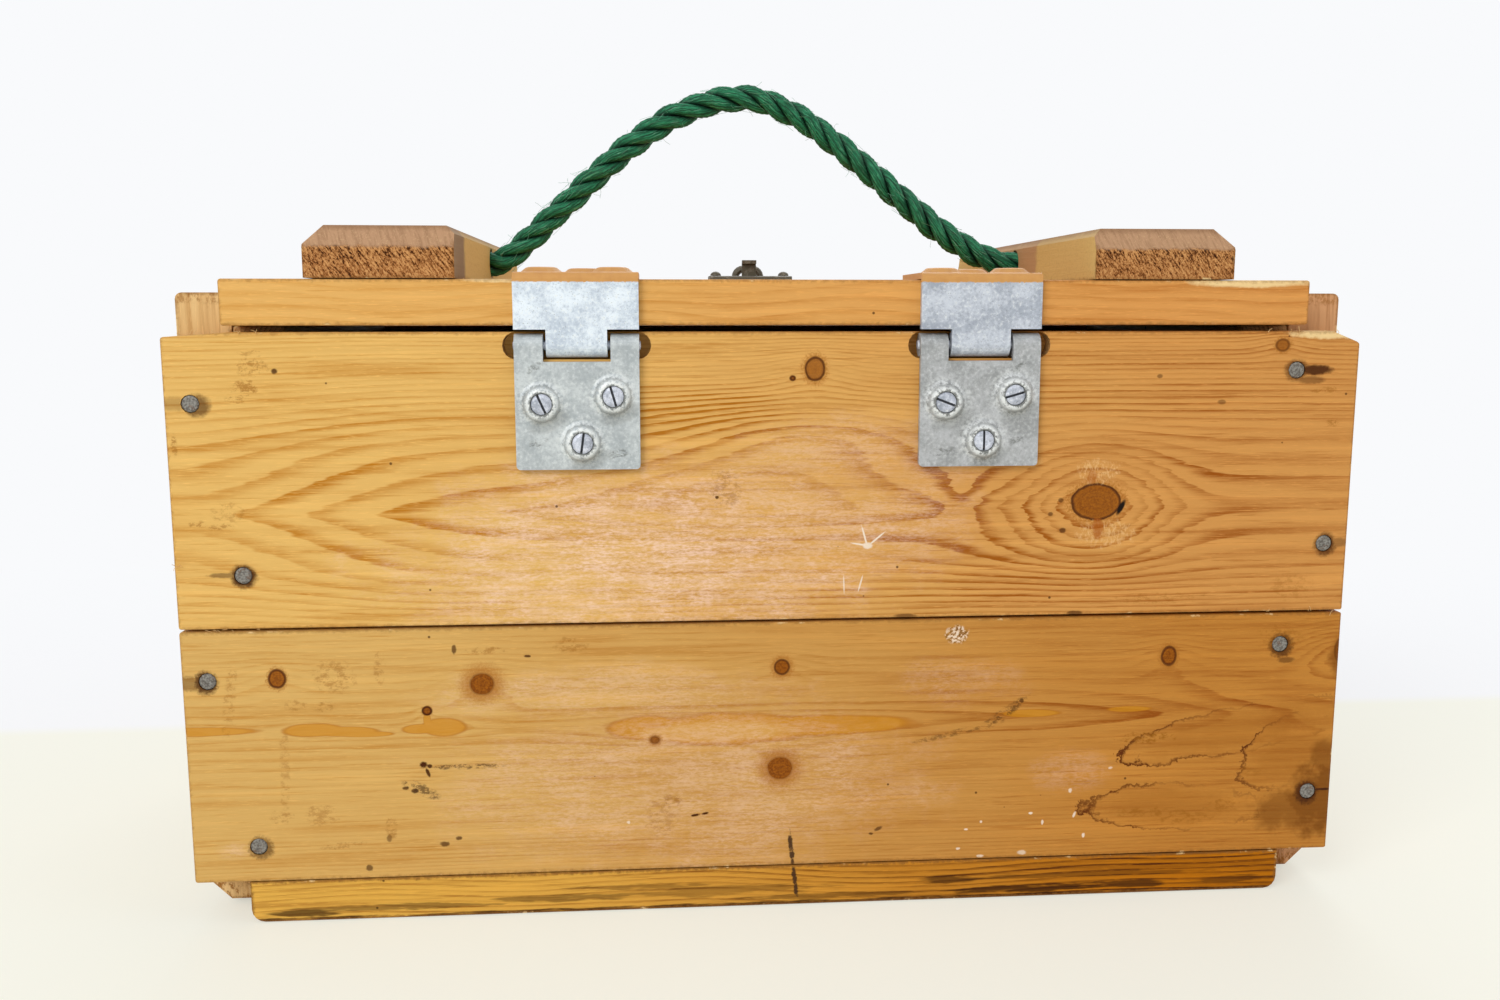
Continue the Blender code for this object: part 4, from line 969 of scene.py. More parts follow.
# %% Front, ends, cleats and lid
LID_TONES = {
    "early": (rgb(222, 172, 98), rgb(214, 150, 80)),
    "late": (rgb(200, 136, 50), rgb(172, 98, 28)),
}
LEFT_CLEAT_TONES = {"early": (rgb(230, 194, 136),) * 2, "late": (rgb(188, 138, 78),) * 2}
RIGHT_CLEAT_TONES = {"early": (rgb(211, 159, 114),) * 2, "late": (rgb(160, 106, 62),) * 2}

REAR_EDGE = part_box("rear_lid_board")[0][1] * PER_METRE
EDGE_FADE = (REAR_EDGE + 4.0, REAR_EDGE + 2.0)
LID_CHIPS = [(180, 244.6, 24, 1.9, 0.95), (-101, 245.0, 14, 1.0, 0.95)]
KNOT_LOOK = (0.9, 0.8, 0.5)
OTHER_BOARDS = [
    (
        "front_upper_board",
        "XZY",
        176,
        [(140, 170, 90, 40, -3.0), (-90, 168, 20, 14, -3.2)],
        [(-90, 168, 5.5, 4.5)],
    ),
    (
        "front_lower_board",
        "XZY",
        60,
        [(-230, 62, 110, 40, 6.0), (70, 84, 16, 11, -2.6)],
        [(70, 84, 4.6, 4.0)],
    ),
    (
        "left_end_upper_board",
        "YZX",
        170,
        [(-90, 172, 60, 30, 4.0), (30, 195, 14, 9, -2.0)],
        [(30, 195, 3.5, 3.0)],
    ),
    ("left_end_lower_board", "YZX", 66, [(95, 66, 70, 30, 5.0)], []),
    ("right_end_upper_board", "YZX", 182, [(100, 180, 70, 30, 5.0)], []),
    (
        "right_end_lower_board",
        "YZX",
        74,
        [(-95, 70, 70, 34, 4.0), (-20, 50, 14, 9, -2.2)],
        [(-20, 50, 4.0, 3.2)],
    ),
    ("rear_left_cleat", "ZYX", -66, [(120, -66, 120, 14, -2.0)], []),
    ("rear_right_cleat", "ZYX", -70, [(40, -70, 100, 16, 2.0)], []),
    (
        "front_left_cleat",
        "ZYX",
        62,
        [(180, 62, 90, 15, 3.0), (70, 74, 12, 8, -2.0)],
        [(70, 74, 3.4, 2.8)],
    ),
    ("front_right_cleat", "ZYX", 70, [(60, 70, 110, 14, -3.0)], []),
    (
        "rear_lid_board",
        "XYZ",
        -50,
        [(-220, -52, 120, 40, 6.0), (80, -30, 18, 11, -3.0)],
        [(80, -30, 5.0, 4.0)],
    ),
    (
        "front_lid_board",
        "XYZ",
        62,
        [(200, 60, 110, 40, 6.0), (-60, 40, 16, 11, -2.6)],
        [(-60, 40, 4.4, 3.6)],
    ),
]


def tones_of(node_name):
    """The two wood colours of a board, by what kind of board it is."""
    if "cleat" in node_name:
        return LEFT_CLEAT_TONES if "left" in node_name else RIGHT_CLEAT_TONES
    return LID_TONES if "lid" in node_name else PINE_TONES


for index, (name, axes, middle, hills, knots) in enumerate(OTHER_BOARDS):
    board = {
        "axes": axes,
        "middle": middle,
        "above": (0.16, 0.0045),
        "below": (0.18, 0.0045),
        "hills": hills,
        "seed": 20.0 + 3.7 * index,
        "through": 0.22,
    }
    finish, place, colour, relief = pine(name, board, tones_of(name))
    if knots:
        colour = add_knots(finish, colour, place, [(*knot, *KNOT_LOOK) for knot in knots])
    if "cleat" in name:
        cleat_dirt = [(2, middle, 16, 60, 0.9), (240, middle, 4, 60, 0.6)]
        colour = add_dirt(finish, colour, place, SMUDGE, cleat_dirt)
    if name == "rear_lid_board":
        x, y, z = split(finish, millimetres(finish))
        rear_edge = step(y, *EDGE_FADE)
        chips = spots(finish, combine(finish, x, z, 0.0), LID_CHIPS, ragged=0.5, grain=0.2)
        colour = blend(chips * rear_edge, colour, CHIP)
    finish_pine(finish, name, colour, relief)
print(len(OTHER_BOARDS), "more boards dressed")

# %% [markdown]
# The bottom boards were planed from poorer wood with strong stripes. The edge that faces the camera
# is scuffed dark near its foot, more so towards the right, with a thin painted contact shadow along the
# foot itself, and the chain of dents ends on it.

# %% Bottom boards
BOTTOM_TONES = {
    "early": (rgb(222, 172, 76), rgb(184, 110, 4)),
    "late": (rgb(146, 84, 16), rgb(80, 34, 0)),
}
SCUFF_AND_CONTACT_SHADOW = rgb(50, 18, 0)
SCUFFS_AND_CONTACT_SHADOW = [
    (-182, 3.0, 14, 1.3, 0.80),
    (-150, 4.2, 36, 1.2, 0.55),
    (-86, 5.6, 26, 1.4, 0.55),
    (-52, 9.5, 24, 1.2, 0.45),
    (-24, 6.6, 40, 2.0, 0.42),
    (20, 3.0, 30, 1.2, 0.50),
    (67, 8.2, 12, 1.7, 0.75),
    (100, 3.2, 30, 1.5, 0.85),
    (135, 3.8, 18, 1.6, 0.80),
    (128, 8.5, 40, 1.0, 0.50),
    (185, 4.5, 16, 1.4, 0.60),
    # A thin dark line along the whole foot: painted contact shadow where the board meets the floor.
    (0, 0.4, 230, 1.0, 0.90),
]
DENT_END = [(6.4, 10.0, 6.0, 0.9, 0.95, -84)]

for index, row in enumerate(("rear", "middle", "front")):
    name = f"{row}_bottom_board"
    board = {
        "axes": "XZY",
        "middle": -12.0,
        "above": (0.42, 0.0),
        "below": (0.42, 0.0),
        "hills": [(70, 8, 70, 16, 0.9), (-120, 4, 90, 14, -0.8)],
        "grain": 0.60,
        "bold": [(150, 8, 110, 40, 0.75)],
        "waver": 14.0,
        "seed": 71.0 + 5.3 * index,
        "through": 0.16,
    }
    finish, place, colour, relief = pine(name, board, BOTTOM_TONES)
    colour = add_marks(finish, colour, place, SCUFF_AND_CONTACT_SHADOW, SCUFFS_AND_CONTACT_SHADOW, ragged=1.4, grain=0.45, streak=9.0)
    colour = add_marks(finish, colour, place, DENT, DENT_END, ragged=1.0, grain=0.7)
    finish_pine(finish, name, colour, relief, roughness=0.55, grime=0.8)
print("bottom boards dressed")

# %% [markdown]
# ## The battens
# The two battens on the lid were cut with a coarse saw. Below the chamfer their ends are torn into a
# stipple of slanted strokes, and the chamfer keeps faint saw lines. Their side faces have an old ochre
# coat with a darker band, and their tops have gone grey. The strokes could be carved, but they are
# thinner than a millimetre, so a noise that is stretched along their slant draws them in colour and
# relief.

# %% Battens with torn ends
BATTEN_TONES = {"early": (rgb(176, 146, 110),) * 2, "late": (rgb(128, 96, 62),) * 2}
TORN_DARK = rgb(52, 22, 4)
TORN_MIDDLE = rgb(152, 92, 44)
TORN_LIGHT = rgb(210, 154, 96)
CHAMFER = rgb(184, 144, 110)
CHAMFER_PALE = rgb(206, 170, 128)
CHAMFER_DARK = rgb(136, 100, 72)
OCHRE_COAT = rgb(218, 182, 110)
OCHRE_WORN = rgb(182, 140, 80)
DARK_BAND = rgb(122, 98, 84)
BROWN_BAND = rgb(184, 136, 98)
CHAMFER_FOOT = 256.6
GREY_TOP = (262.0, 264.4)
STROKE_SLANT = (0.83, 0.56)
STROKE_GRAIN = (1.7, 0.34, 1.5)
SAWN_LEAN = 0.35
SAWN_GRAIN = 0.12
TORN_RELIEF = 9.0


def batten(node_name, middle, seed, band, band_tone):
    """A batten's finish. Its side faces have a band of another tone between two points along it."""
    board = {
        "axes": "YXZ",
        "middle": middle,
        "above": (0.20, 0.006),
        "below": (0.20, 0.006),
        "hills": [(-120, middle, 90, 20, 4.0)],
        "seed": seed,
        "through": 0.35,
    }
    finish, place, colour, relief = pine(node_name, board, BATTEN_TONES)
    x, y, z = split(finish, millimetres(finish))
    side_on, end_on, _ = facing(finish)
    wander = noise(finish, place, 0.25, 3.0, 0.6) - 0.5
    ends = step(abs(end_on), 0.5, 0.7)
    below = step(z + wander * 2.5, CHAMFER_FOOT + 1.0, CHAMFER_FOOT - 0.6)
    lean, rise = STROKE_SLANT
    slant = combine(finish, x * lean + z * rise, z * lean - x * rise, y)
    stroke = noise(finish, slant, 0.85, 4.0, 0.75, stretch=STROKE_GRAIN, shift=seed)
    crumb = noise(finish, place, 1.3, 3.0, 0.75, shift=seed + 2)
    grit = stroke * 0.6 + crumb * 0.4
    pitted = grit + (CHAMFER_FOOT - 5.0 - z) * 0.004
    torn_colour = blend(step(grit, 0.44, 0.60), TORN_MIDDLE, TORN_LIGHT)
    torn_colour = blend(step(pitted, 0.50, 0.40), torn_colour, TORN_DARK)
    saw_lines = combine(finish, x + z * SAWN_LEAN, z * SAWN_GRAIN, y * SAWN_GRAIN)
    sawn = noise(finish, saw_lines, 0.7, 4.0, 0.7, shift=seed + 5)
    chamfer_colour = blend(step(sawn, 0.44, 0.64, 0.45), CHAMFER, CHAMFER_DARK)
    chamfer_colour = blend(step(crumb, 0.46, 0.34, 0.5), chamfer_colour, CHAMFER_PALE)
    colour = blend(ends, colour, blend(below, chamfer_colour, torn_colour))
    sides = step(abs(side_on), 0.6, 0.8)
    low, high = band
    in_band = step(y + wander * 8, low - 3, low + 3) * step(y + wander * 8, high + 4, high - 4)
    coat = blend(step(crumb, 0.5, 0.7, 0.5), OCHRE_COAT, OCHRE_WORN)
    colour = blend(sides * 0.85, colour, blend(in_band * 0.85, coat, band_tone))
    colour = blend(step(z + wander * 2.0, *GREY_TOP, 0.6), colour, CHAMFER_DARK)
    relief = relief * (1 - ends) + ends * below * grit * TORN_RELIEF
    finish_pine(finish, node_name, colour, relief, roughness=0.75, grime=0.45)


batten("left_batten", -146, 91.0, (-140, -84), DARK_BAND)
batten("right_batten", 146, 95.1, (-34, 60), BROWN_BAND)
print("battens dressed")

# %% [markdown]
# ## Galvanised hinges
# Hot zinc leaves a light grey skin with dull and bright clouds, and a chalky white bloom where water
# stood, round the pressed bosses for instance. A plain mirror metal would only show the white studio, so
# the skin is mostly a rough grey with a little metal in it. The upper leaves got some of the lid's ochre
# coat over their bend.

# %% Zinc on the hinges
LEAF_METAL = 0.25
BLOOM = rgb(230, 233, 231)
ZINC_DIRT_AND_SHADE = rgb(108, 110, 106)
BOSS_TOP = 6.0
SCREW_EDGE = 4.3
LEAF_OCHRE = rgb(212, 158, 88)
LEAF_OCHRE_DARK = rgb(190, 132, 66)
OCHRE_FROM = 244.4
HINGE_X = {"left_hinge": -75.5, "right_hinge": 75.5}
BOSSES = [(-13.2, 199.75), (13.2, 202.45), (1.6, 185.2)]
BOSS_SKIRT = (9.0, 9.0, 0.45)
BOSS_SHADE = (7.5, 3.4, 0.40, 20)
SHADE_RIGHT = 2.6
SHADE_DOWN = 6.6
LEAF_SCUFFS = [
    (14.9, 185.5, 3.4, 1.3, 0.75, 20),
    (-14.0, 181.0, 5.0, 1.5, 0.75, 12),
    (15.5, 213.0, 3.2, 1.4, 0.75, 35),
]
# Bright and dull zinc of each leaf; the right hinge's leaves are darker copies of the same zinc, as
# painted shade with the light from the left.
ZINC_TONES_AND_SHADE = {
    "left_hinge_lower_leaf": (rgb(200, 206, 207), rgb(166, 173, 176)),
    "right_hinge_lower_leaf": (rgb(184, 186, 188), rgb(148, 150, 150)),
    "left_hinge_upper_leaf": (rgb(230, 239, 247), rgb(184, 196, 210)),
    "right_hinge_upper_leaf": (rgb(203, 209, 219), rgb(160, 167, 180)),
}


def zinc(name, bright, dull, metal=LEAF_METAL, speckle=1.0):
    """A zinc finish. Returns the finish, its place seen from the hinge side, its colour and its mottle."""
    finish = Finish(name)
    place = millimetres(finish)
    cloud = noise(finish, place, 0.09, 3.0, 0.6)
    mottle = noise(finish, place, 0.75, 3.0, 0.7)
    grit = noise(finish, place, 2.0, 2.0, 0.6)
    colour = blend(step(cloud * 0.6 + mottle * 0.4, 0.36, 0.62), dull, bright)
    colour = blend(step(mottle, 0.54, 0.70, 0.45 * speckle), colour, BLOOM)
    colour = blend(step(mottle, 0.44, 0.30, 0.5 * speckle), colour, dull)
    colour = blend(step(grit, 0.60, 0.74, 0.6 * speckle), colour, ZINC_DIRT_AND_SHADE)
    dimples = bump(finish, grit * 0.5 + mottle, 0.2, 0.0002)
    finish.surface(Metallic=metal, Roughness=cloud * 0.2 + 0.42, Normal=dimples)
    x, _, z = split(finish, place)
    return finish, combine(finish, x, z, 0.0), colour, mottle


for hinge, middle in HINGE_X.items():
    leaf = f"{hinge}_lower_leaf"
    finish, face, colour, mottle = zinc(f"{leaf}_zinc", *ZINC_TONES_AND_SHADE[leaf], speckle=0.5)
    bosses = [(middle + across, height) for across, height in BOSSES]
    skirts = [(x, z, *BOSS_SKIRT) for x, z in bosses]
    # Painted shadow below and to the right of each boss.
    shade = [(x + SHADE_RIGHT, z - SHADE_DOWN, *BOSS_SHADE) for x, z in bosses]
    chalk = spots(finish, face, skirts, ragged=0.3, grain=0.3) * step(mottle, 0.36, 0.60)
    colour = blend(chalk, colour, BLOOM)
    colour = add_marks(finish, colour, face, ZINC_DIRT_AND_SHADE, shade, ragged=0.3, grain=0.3)
    way = math.copysign(1.0, middle)
    scuffs = [(middle + way * across, *rest) for across, *rest in LEAF_SCUFFS]
    colour = add_dirt(finish, colour, face, ZINC_DIRT_AND_SHADE, scuffs)
    # Round each screw: a bright ring on the boss's flat top, partly chalky bloom and partly painted
    # highlight, with painted shade in the gap round the screw and along the outer edge of the ring.
    for x, z in bosses:
        off = reach(finish, face, (x, z), (1.0, 1.0)) ** 0.5 + mottle * 3.0 - 1.5
        rim = step(off, SCREW_EDGE, SCREW_EDGE + 0.6) * step(off, BOSS_TOP + 0.4, BOSS_TOP - 0.8)
        colour = blend(rim * step(mottle, 0.34, 0.60, 0.85), colour, BLOOM)
        screw_gap_shade = step(off, SCREW_EDGE + 0.5, SCREW_EDGE, 0.7)
        rim_edge_shade = step(off, BOSS_TOP, BOSS_TOP + 0.5) * step(off, BOSS_TOP + 1.4, BOSS_TOP + 0.7, 0.45)
        colour = blend(screw_gap_shade.math("MAXIMUM", screw_gap_shade, rim_edge_shade), colour, ZINC_DIRT_AND_SHADE)
    finish.surface(Base_Color=colour)
    finish.wear(leaf)

    leaf = f"{hinge}_upper_leaf"
    finish, face, colour, mottle = zinc(f"{leaf}_zinc", *ZINC_TONES_AND_SHADE[leaf])
    height = split(finish, face)[1]
    coat = step(height + mottle * 1.6, OCHRE_FROM + 0.5, OCHRE_FROM + 0.9)
    tint = noise(finish, face, 0.3, 3.0)
    colour = blend(coat, colour, blend(tint, LEAF_OCHRE, LEAF_OCHRE_DARK))
    finish.surface(Base_Color=colour, Metallic=LEAF_METAL - coat * LEAF_METAL)
    finish.wear(leaf)
print("hinge leaves dressed")

# %% [markdown]
# ## Screws, nails and the latch
# The screws are brighter than the leaves, and what lies deeper than the rim of a head, in its slot, is
# darkened. The nail heads are bare steel gone dull, and the latch is painted olive with the paint
# rubbed off in places and rust below it.

# %% Bright screws, dull nails and worn olive paint
SCREW_BRIGHT = rgb(222, 226, 238)
SCREW_DULL = rgb(160, 166, 178)
SLOT_DARK_TONE = rgb(62, 64, 70)
SLOT_DEPTH = (0.42, 0.62)
SCREW_METAL = 0.5
SCREW_SPOTS = ("left", "right", "middle")
NAIL_GREY = rgb(140, 137, 130)
NAIL_PIT = rgb(92, 86, 79)
NAIL_RUST = rgb(110, 78, 54)
OLIVE = rgb(84, 76, 58)
OLIVE_RUBBED = rgb(122, 112, 96)
LATCH_RUST = rgb(98, 62, 38)
STEEL_METAL = 0.2

finish, face, colour, mottle = zinc("pin_zinc", SCREW_BRIGHT, SCREW_DULL, SCREW_METAL)
finish.surface(Base_Color=colour)
finish.wear(*[f"{hinge}_pin" for hinge in HINGE_X])
for level in ("lower", "upper"):
    finish, face, colour, mottle = zinc(f"{level}_screw_zinc", SCREW_BRIGHT, SCREW_DULL, SCREW_METAL)
    low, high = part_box(f"left_hinge_{level}_left_screw")
    _, y, z = split(finish, millimetres(finish))
    depth = y - low[1] * PER_METRE if level == "lower" else high[2] * PER_METRE - z
    # What lies deeper than the rim of the head, in the slot, is made darker.
    finish.surface(Base_Color=blend(step(depth, *SLOT_DEPTH), colour, SLOT_DARK_TONE))
    finish.wear(*[f"{hinge}_{level}_{spot}_screw" for hinge in HINGE_X for spot in SCREW_SPOTS])

nail_steel = Finish("nail_steel")
place = millimetres(nail_steel)
pits = noise(nail_steel, place, 1.2, 3.0, 0.6)
rust = noise(nail_steel, place, 0.6, 2.0, shift=4.0)
colour = blend(step(pits, 0.36, 0.64), NAIL_GREY, NAIL_PIT)
colour = blend(step(rust, 0.56, 0.7) * 0.5, colour, NAIL_RUST)
dimples = bump(nail_steel, pits, 0.4, 0.0004)
nail_steel.surface(Base_Color=colour, Metallic=STEEL_METAL, Roughness=pits * 0.3 + 0.4, Normal=dimples)
nail_steel.wear(*[name for name in nodes if name.startswith("rear_nail")])

olive_paint = Finish("olive_paint")
place = millimetres(olive_paint)
rub = noise(olive_paint, place, 0.35, 4.0, 0.7)
rust = noise(olive_paint, place, 0.9, 3.0)
colour = blend(step(rub, 0.50, 0.66), OLIVE, OLIVE_RUBBED)
colour = blend(step(rust, 0.58, 0.7) * 0.8, colour, LATCH_RUST)
dimples = bump(olive_paint, rub, 0.3, 0.0003)
olive_paint.surface(Base_Color=colour, Metallic=STEEL_METAL, Roughness=rub * 0.3 + 0.35, Normal=dimples)
olive_paint.wear(*[name for name in nodes if name.startswith(("latch", "keeper"))])
print("screws, nails and latch dressed")

# %% [markdown]
# The far side and the battens are nailed as well. Each head there is a shallow dome, turned from a few
# rings and sunk until it stands only a hair proud. One mesh holds the heads of a side, because they never
# move apart. The helper that spans faces from ring to ring serves the strands and the hairs of the rope
# later on.

# %% Nail heads on the far side, the cleats and the battens
NAIL_HEAD_RADIUS = 0.0031
NAIL_PROUD = 0.0002
NAIL_SIDES = 18
DOME = [(1.0, -0.0008), (1.0, -0.0002), (0.86, 0.0), (0.45, 0.00005)]
FRONT_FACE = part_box("front_upper_board")[1][1]
CLEAT_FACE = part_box("rear_right_cleat")[1][0]
LEFT_NAILS = [(-0.214, 0.196), (-0.2, 0.138), (-0.216, 0.098), (-0.2, 0.034)]
RIGHT_NAILS = [(0.2, 0.206), (0.215, 0.140), (0.2, 0.1), (0.215, 0.038)]
CLEAT_NAILS = [(0.058, 0.045), (0.078, 0.096), (0.060, 0.150), (0.076, 0.205)]
BATTEN_NAILS = [
    (0.134, -0.085),
    (0.157, -0.060),
    (0.135, -0.030),
    (0.158, 0.034),
    (0.136, 0.062),
    (0.155, 0.088),
]


def corner_ring(bm, middle, side, other, radii):
    """Corners all round a middle, one for each radius."""
    corners = []
    for number, radius in enumerate(radii):
        angle = math.tau * number / len(radii)
        arm = side * math.cos(angle) + other * math.sin(angle)
        corners.append(bm.verts.new(middle + arm * radius))
    return corners


def skin_rings(bm, rings):
    """Faces from ring to ring, row by row, and a cap on each end."""
    rows = []
    for near, far in zip(rings, rings[1:]):
        corners = zip(near, near[1:] + near[:1], far[1:] + far[:1], far)
        rows.append([bm.faces.new(four) for four in corners])
    bm.faces.new(rings[0][::-1])
    bm.faces.new(rings[-1])
    return rows


def riding_piece(name, bm, body):
    """A finished mesh as a piece that rides on a body."""
    mesh = bpy.data.meshes.new(name)
    bm.to_mesh(mesh)
    bm.free()
    piece = bpy.data.objects.new(name, mesh)
    bpy.context.scene.collection.objects.link(piece)
    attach(piece, body)
    return piece


def nail_heads(name, body, places, out):
    """Nail heads at places on a face that looks along out."""
    out = Vector(out)
    side = out.orthogonal().normalized()
    other = out.cross(side)
    bm = bmesh.new()
    for place in places:
        rings = []
        for share, rise in DOME:
            middle = Vector(place) + out * (rise + NAIL_PROUD)
            rings.append(corner_ring(bm, middle, side, other, [NAIL_HEAD_RADIUS * share] * NAIL_SIDES))
        skin_rings(bm, rings)
    piece = riding_piece(name, bm, body)
    piece.data.materials.append(nail_steel.material)


front_spots = [(x, FRONT_FACE, z) for x, z in LEFT_NAILS + RIGHT_NAILS]
nail_heads("front_nail_heads", "box", front_spots, (0, 1, 0))
for end, way in (("left", -1), ("right", 1)):
    cleat_spots = [(way * CLEAT_FACE, y * side, z) for side in (-1, 1) for y, z in CLEAT_NAILS]
    nail_heads(f"{end}_cleat_nail_heads", "box", cleat_spots, (way, 0, 0))
    batten_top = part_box(f"{end}_batten")[1][2]
    batten_spots = [(way * x, y, batten_top) for x, y in BATTEN_NAILS]
    nail_heads(f"{end}_batten_nail_heads", "lid", batten_spots, (0, 0, 1))
print(len(front_spots) + 2 * len(cleat_spots) + 2 * len(batten_spots), "nail heads added")

# %% [markdown]
# ## The rope
# The handle is a three-strand laid rope. A tube with a striped bump would look like a hose, so each
# strand is its own tube that winds round the rope's line, with a wall knot on each end outside the
# batten.

# %% The rope's line
ROPE_Z = 0.2549
ROPE_DIAMETER = 0.012
ROPE_STEP = 0.0020
ROPE_END = 0.18175
CURVE_PARTS = 40
IN_BATTEN = [ROPE_END, 0.166, 0.150, 0.134]
ROPE_ARCH = [
    (-0.117, 0.0002),
    (-0.1115, 0.0025),
    (-0.103, 0.0096),
    (-0.080, 0.0310),
    (-0.057, 0.0512),
    (-0.033, 0.0662),
    (-0.006, 0.0727),
    (0.018, 0.0650),
    (0.041, 0.0491),
    (0.062, 0.0322),
    (0.084, 0.0148),
    (0.100, 0.0053),
    (0.1095, 0.0014),
    (0.117, 0.0001),
]


def smooth_line(points, spacing):
    """Evenly spaced points on a smooth curve through the given ones, and its length."""
    knots = [Vector(point) for point in points]
    fine = []
    for index in range(len(knots) - 1):
        before = knots[max(index - 1, 0)]
        start, end = knots[index], knots[index + 1]
        after = knots[min(index + 2, len(knots) - 1)]
        for part in range(CURVE_PARTS):
            t = part / CURVE_PARTS
            bend = (2 * before - 5 * start + 4 * end - after) * t**2
            twist = (3 * start - before - 3 * end + after) * t**3
            fine.append(0.5 * (2 * start + (end - before) * t + bend + twist))
    fine.append(knots[-1])
    lengths = [0.0]
    for first, second in zip(fine, fine[1:]):
        lengths.append(lengths[-1] + (second - first).length)
    count = max(2, round(lengths[-1] / spacing))
    line = []
    index = 0
    for number in range(count + 1):
        wanted = lengths[-1] * number / count
        while index < len(fine) - 2 and lengths[index + 1] < wanted:
            index += 1
        stretch = lengths[index + 1] - lengths[index]
        share = 0.0 if stretch == 0 else (wanted - lengths[index]) / stretch
        line.append(fine[index].lerp(fine[index + 1], share))
    return line, lengths[-1]


route = [(-across, 0, ROPE_Z) for across in IN_BATTEN]
route += [(across, 0, ROPE_Z + up) for across, up in ROPE_ARCH]
route += [(across, 0, ROPE_Z) for across in reversed(IN_BATTEN)]
rope_line, rope_length = smooth_line(route, ROPE_STEP)
print(f"rope {rope_length:.3f} m in {len(rope_line)} steps")

# %% [markdown]
# Each strand is a bundle of yarns, twisted the other way from the strands. Its tube therefore has a
# scalloped section with one scallop for each yarn, and the scallops turn as the tube runs on. The map's
# second measure starts where the strand faces out of the rope, so that the finish can find the crests and
# the grooves between the strands, where it paints shade.

# %% A strand as a scalloped tube
STRAND_RADIUS = 0.00285
YARNS = 8
YARN_SIDES = 4
YARN_RELIEF = 0.00030
YARN_LAY = 0.030
MAP_SCALE = 100


def tangent_at(line, index):
    """The way that a line of points runs at one of them."""
    return (line[min(index + 1, len(line) - 1)] - line[max(index - 1, 0)]).normalized()


def sweep(bm, uv, line, outward):
    """A scalloped tube along a line. Its map runs along the tube, and round it from its outer side."""
    sides = YARNS * YARN_SIDES
    rings = []
    lengths = [0.0]
    for index, point in enumerate(line):
        tangent = tangent_at(line, index)
        side = (outward[index] - tangent * outward[index].dot(tangent)).normalized()
        if index:
            lengths.append(lengths[-1] + (point - line[index - 1]).length)
        radii = []
        for corner in range(sides):
            turn = math.tau * corner / sides + math.tau * lengths[-1] / YARN_LAY
            scallop = abs(math.sin(YARNS * turn / 2))
            radii.append(STRAND_RADIUS - YARN_RELIEF * (1 - scallop))
        rings.append(corner_ring(bm, point, side, tangent.cross(side), radii))
    for start, end, row in zip(lengths, lengths[1:], skin_rings(bm, rings)):
        for corner, face in enumerate(row):
            face.smooth = True
            near, far = corner / sides, (corner + 1) / sides
            spots_on_map = ((start, near), (start, far), (end, far), (end, near))
            for loop, (length, share) in zip(face.loops, spots_on_map):
                loop[uv].uv = (length * MAP_SCALE, share)


def rope_piece(name, lines):
    """Strands in one mesh that rides on the handle."""
    bm = bmesh.new()
    uv = bm.loops.layers.uv.new("UVMap")
    for line, outward in lines:
        sweep(bm, uv, line, outward)
    return riding_piece(name, bm, "handle")


print(YARNS, "yarns in a strand")

# %% [markdown]
# The three strands wind round the rope's line, a third of a turn apart. Two slow waves loosen them a
# little, so that the lay isn't as even as a machine's. In an end knot each strand leaves the rope, goes
# round the other two and comes back to the middle.

# %% Three strands laid round the line, and the end knots
LAY_LENGTH = 0.036
STRAND_OFFSET = 0.00305
STRAND_SLACK = 0.00016
SLACK_WAVES = [(0.23, 5), (0.091, 3)]
THIRDS = [math.tau * strand / 3 for strand in range(3)]
KNOT_SEAT = 0.1735
KNOT_STEP = 0.0012
KNOT_START = 0.7
KNOT_LEAN = 0.001
KNOT_PATH = [
    (-0.001, 0.0029, 0),
    (0.0032, 0.0048, 10),
    (0.0050, 0.0058, 70),
    (0.0064, 0.0059, 140),
    (0.0090, 0.0056, 205),
    (0.0116, 0.0042, 265),
    (0.0130, 0.0018, 310),
]


def strand_line(start_angle):
    """The line of one strand, which turns round the rope once in each lay length, and its way out."""
    points = []
    outward = []
    step_length = rope_length / (len(rope_line) - 1)
    for index, point in enumerate(rope_line):
        side = Vector((0, 1, 0))
        other = tangent_at(rope_line, index).cross(side)
        angle = start_angle + math.tau * index * step_length / LAY_LENGTH
        arm = side * math.cos(angle) + other * math.sin(angle)
        slack = sum(math.sin(rate * index + phase * start_angle) for rate, phase in SLACK_WAVES)
        points.append(point + arm * (STRAND_OFFSET + STRAND_SLACK * slack))
        outward.append(arm)
    return points, outward


def knot_strand(way, start_angle):
    """One strand of an end knot: out of the rope, round the others and back into the middle."""
    points = []
    for out, radius, turn in KNOT_PATH:
        angle = start_angle + way * math.radians(turn)
        across, up = radius * math.cos(angle), radius * math.sin(angle)
        points.append((way * (KNOT_SEAT + out), across, ROPE_Z + up))
    line = smooth_line(points, KNOT_STEP)[0]
    return line, [Vector((KNOT_LEAN * way, point.y, point.z - ROPE_Z)) for point in line]


rope = rope_piece("laid_rope", [strand_line(angle) for angle in THIRDS])
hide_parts("rope_handle")
left_knot = rope_piece("left_rope_knot", [knot_strand(-1, angle + KNOT_START) for angle in THIRDS])
right_knot = rope_piece("right_rope_knot", [knot_strand(1, angle + KNOT_START) for angle in THIRDS])
print(len(rope.data.polygons), "faces in the rope")

# %% [markdown]
# Use has broken many filaments. Some stand off the rope as fine hairs, and more lie along it. Each is a
# thin three-sided tube on a short bent line. The draws are seeded, so that the same hairs come each time.

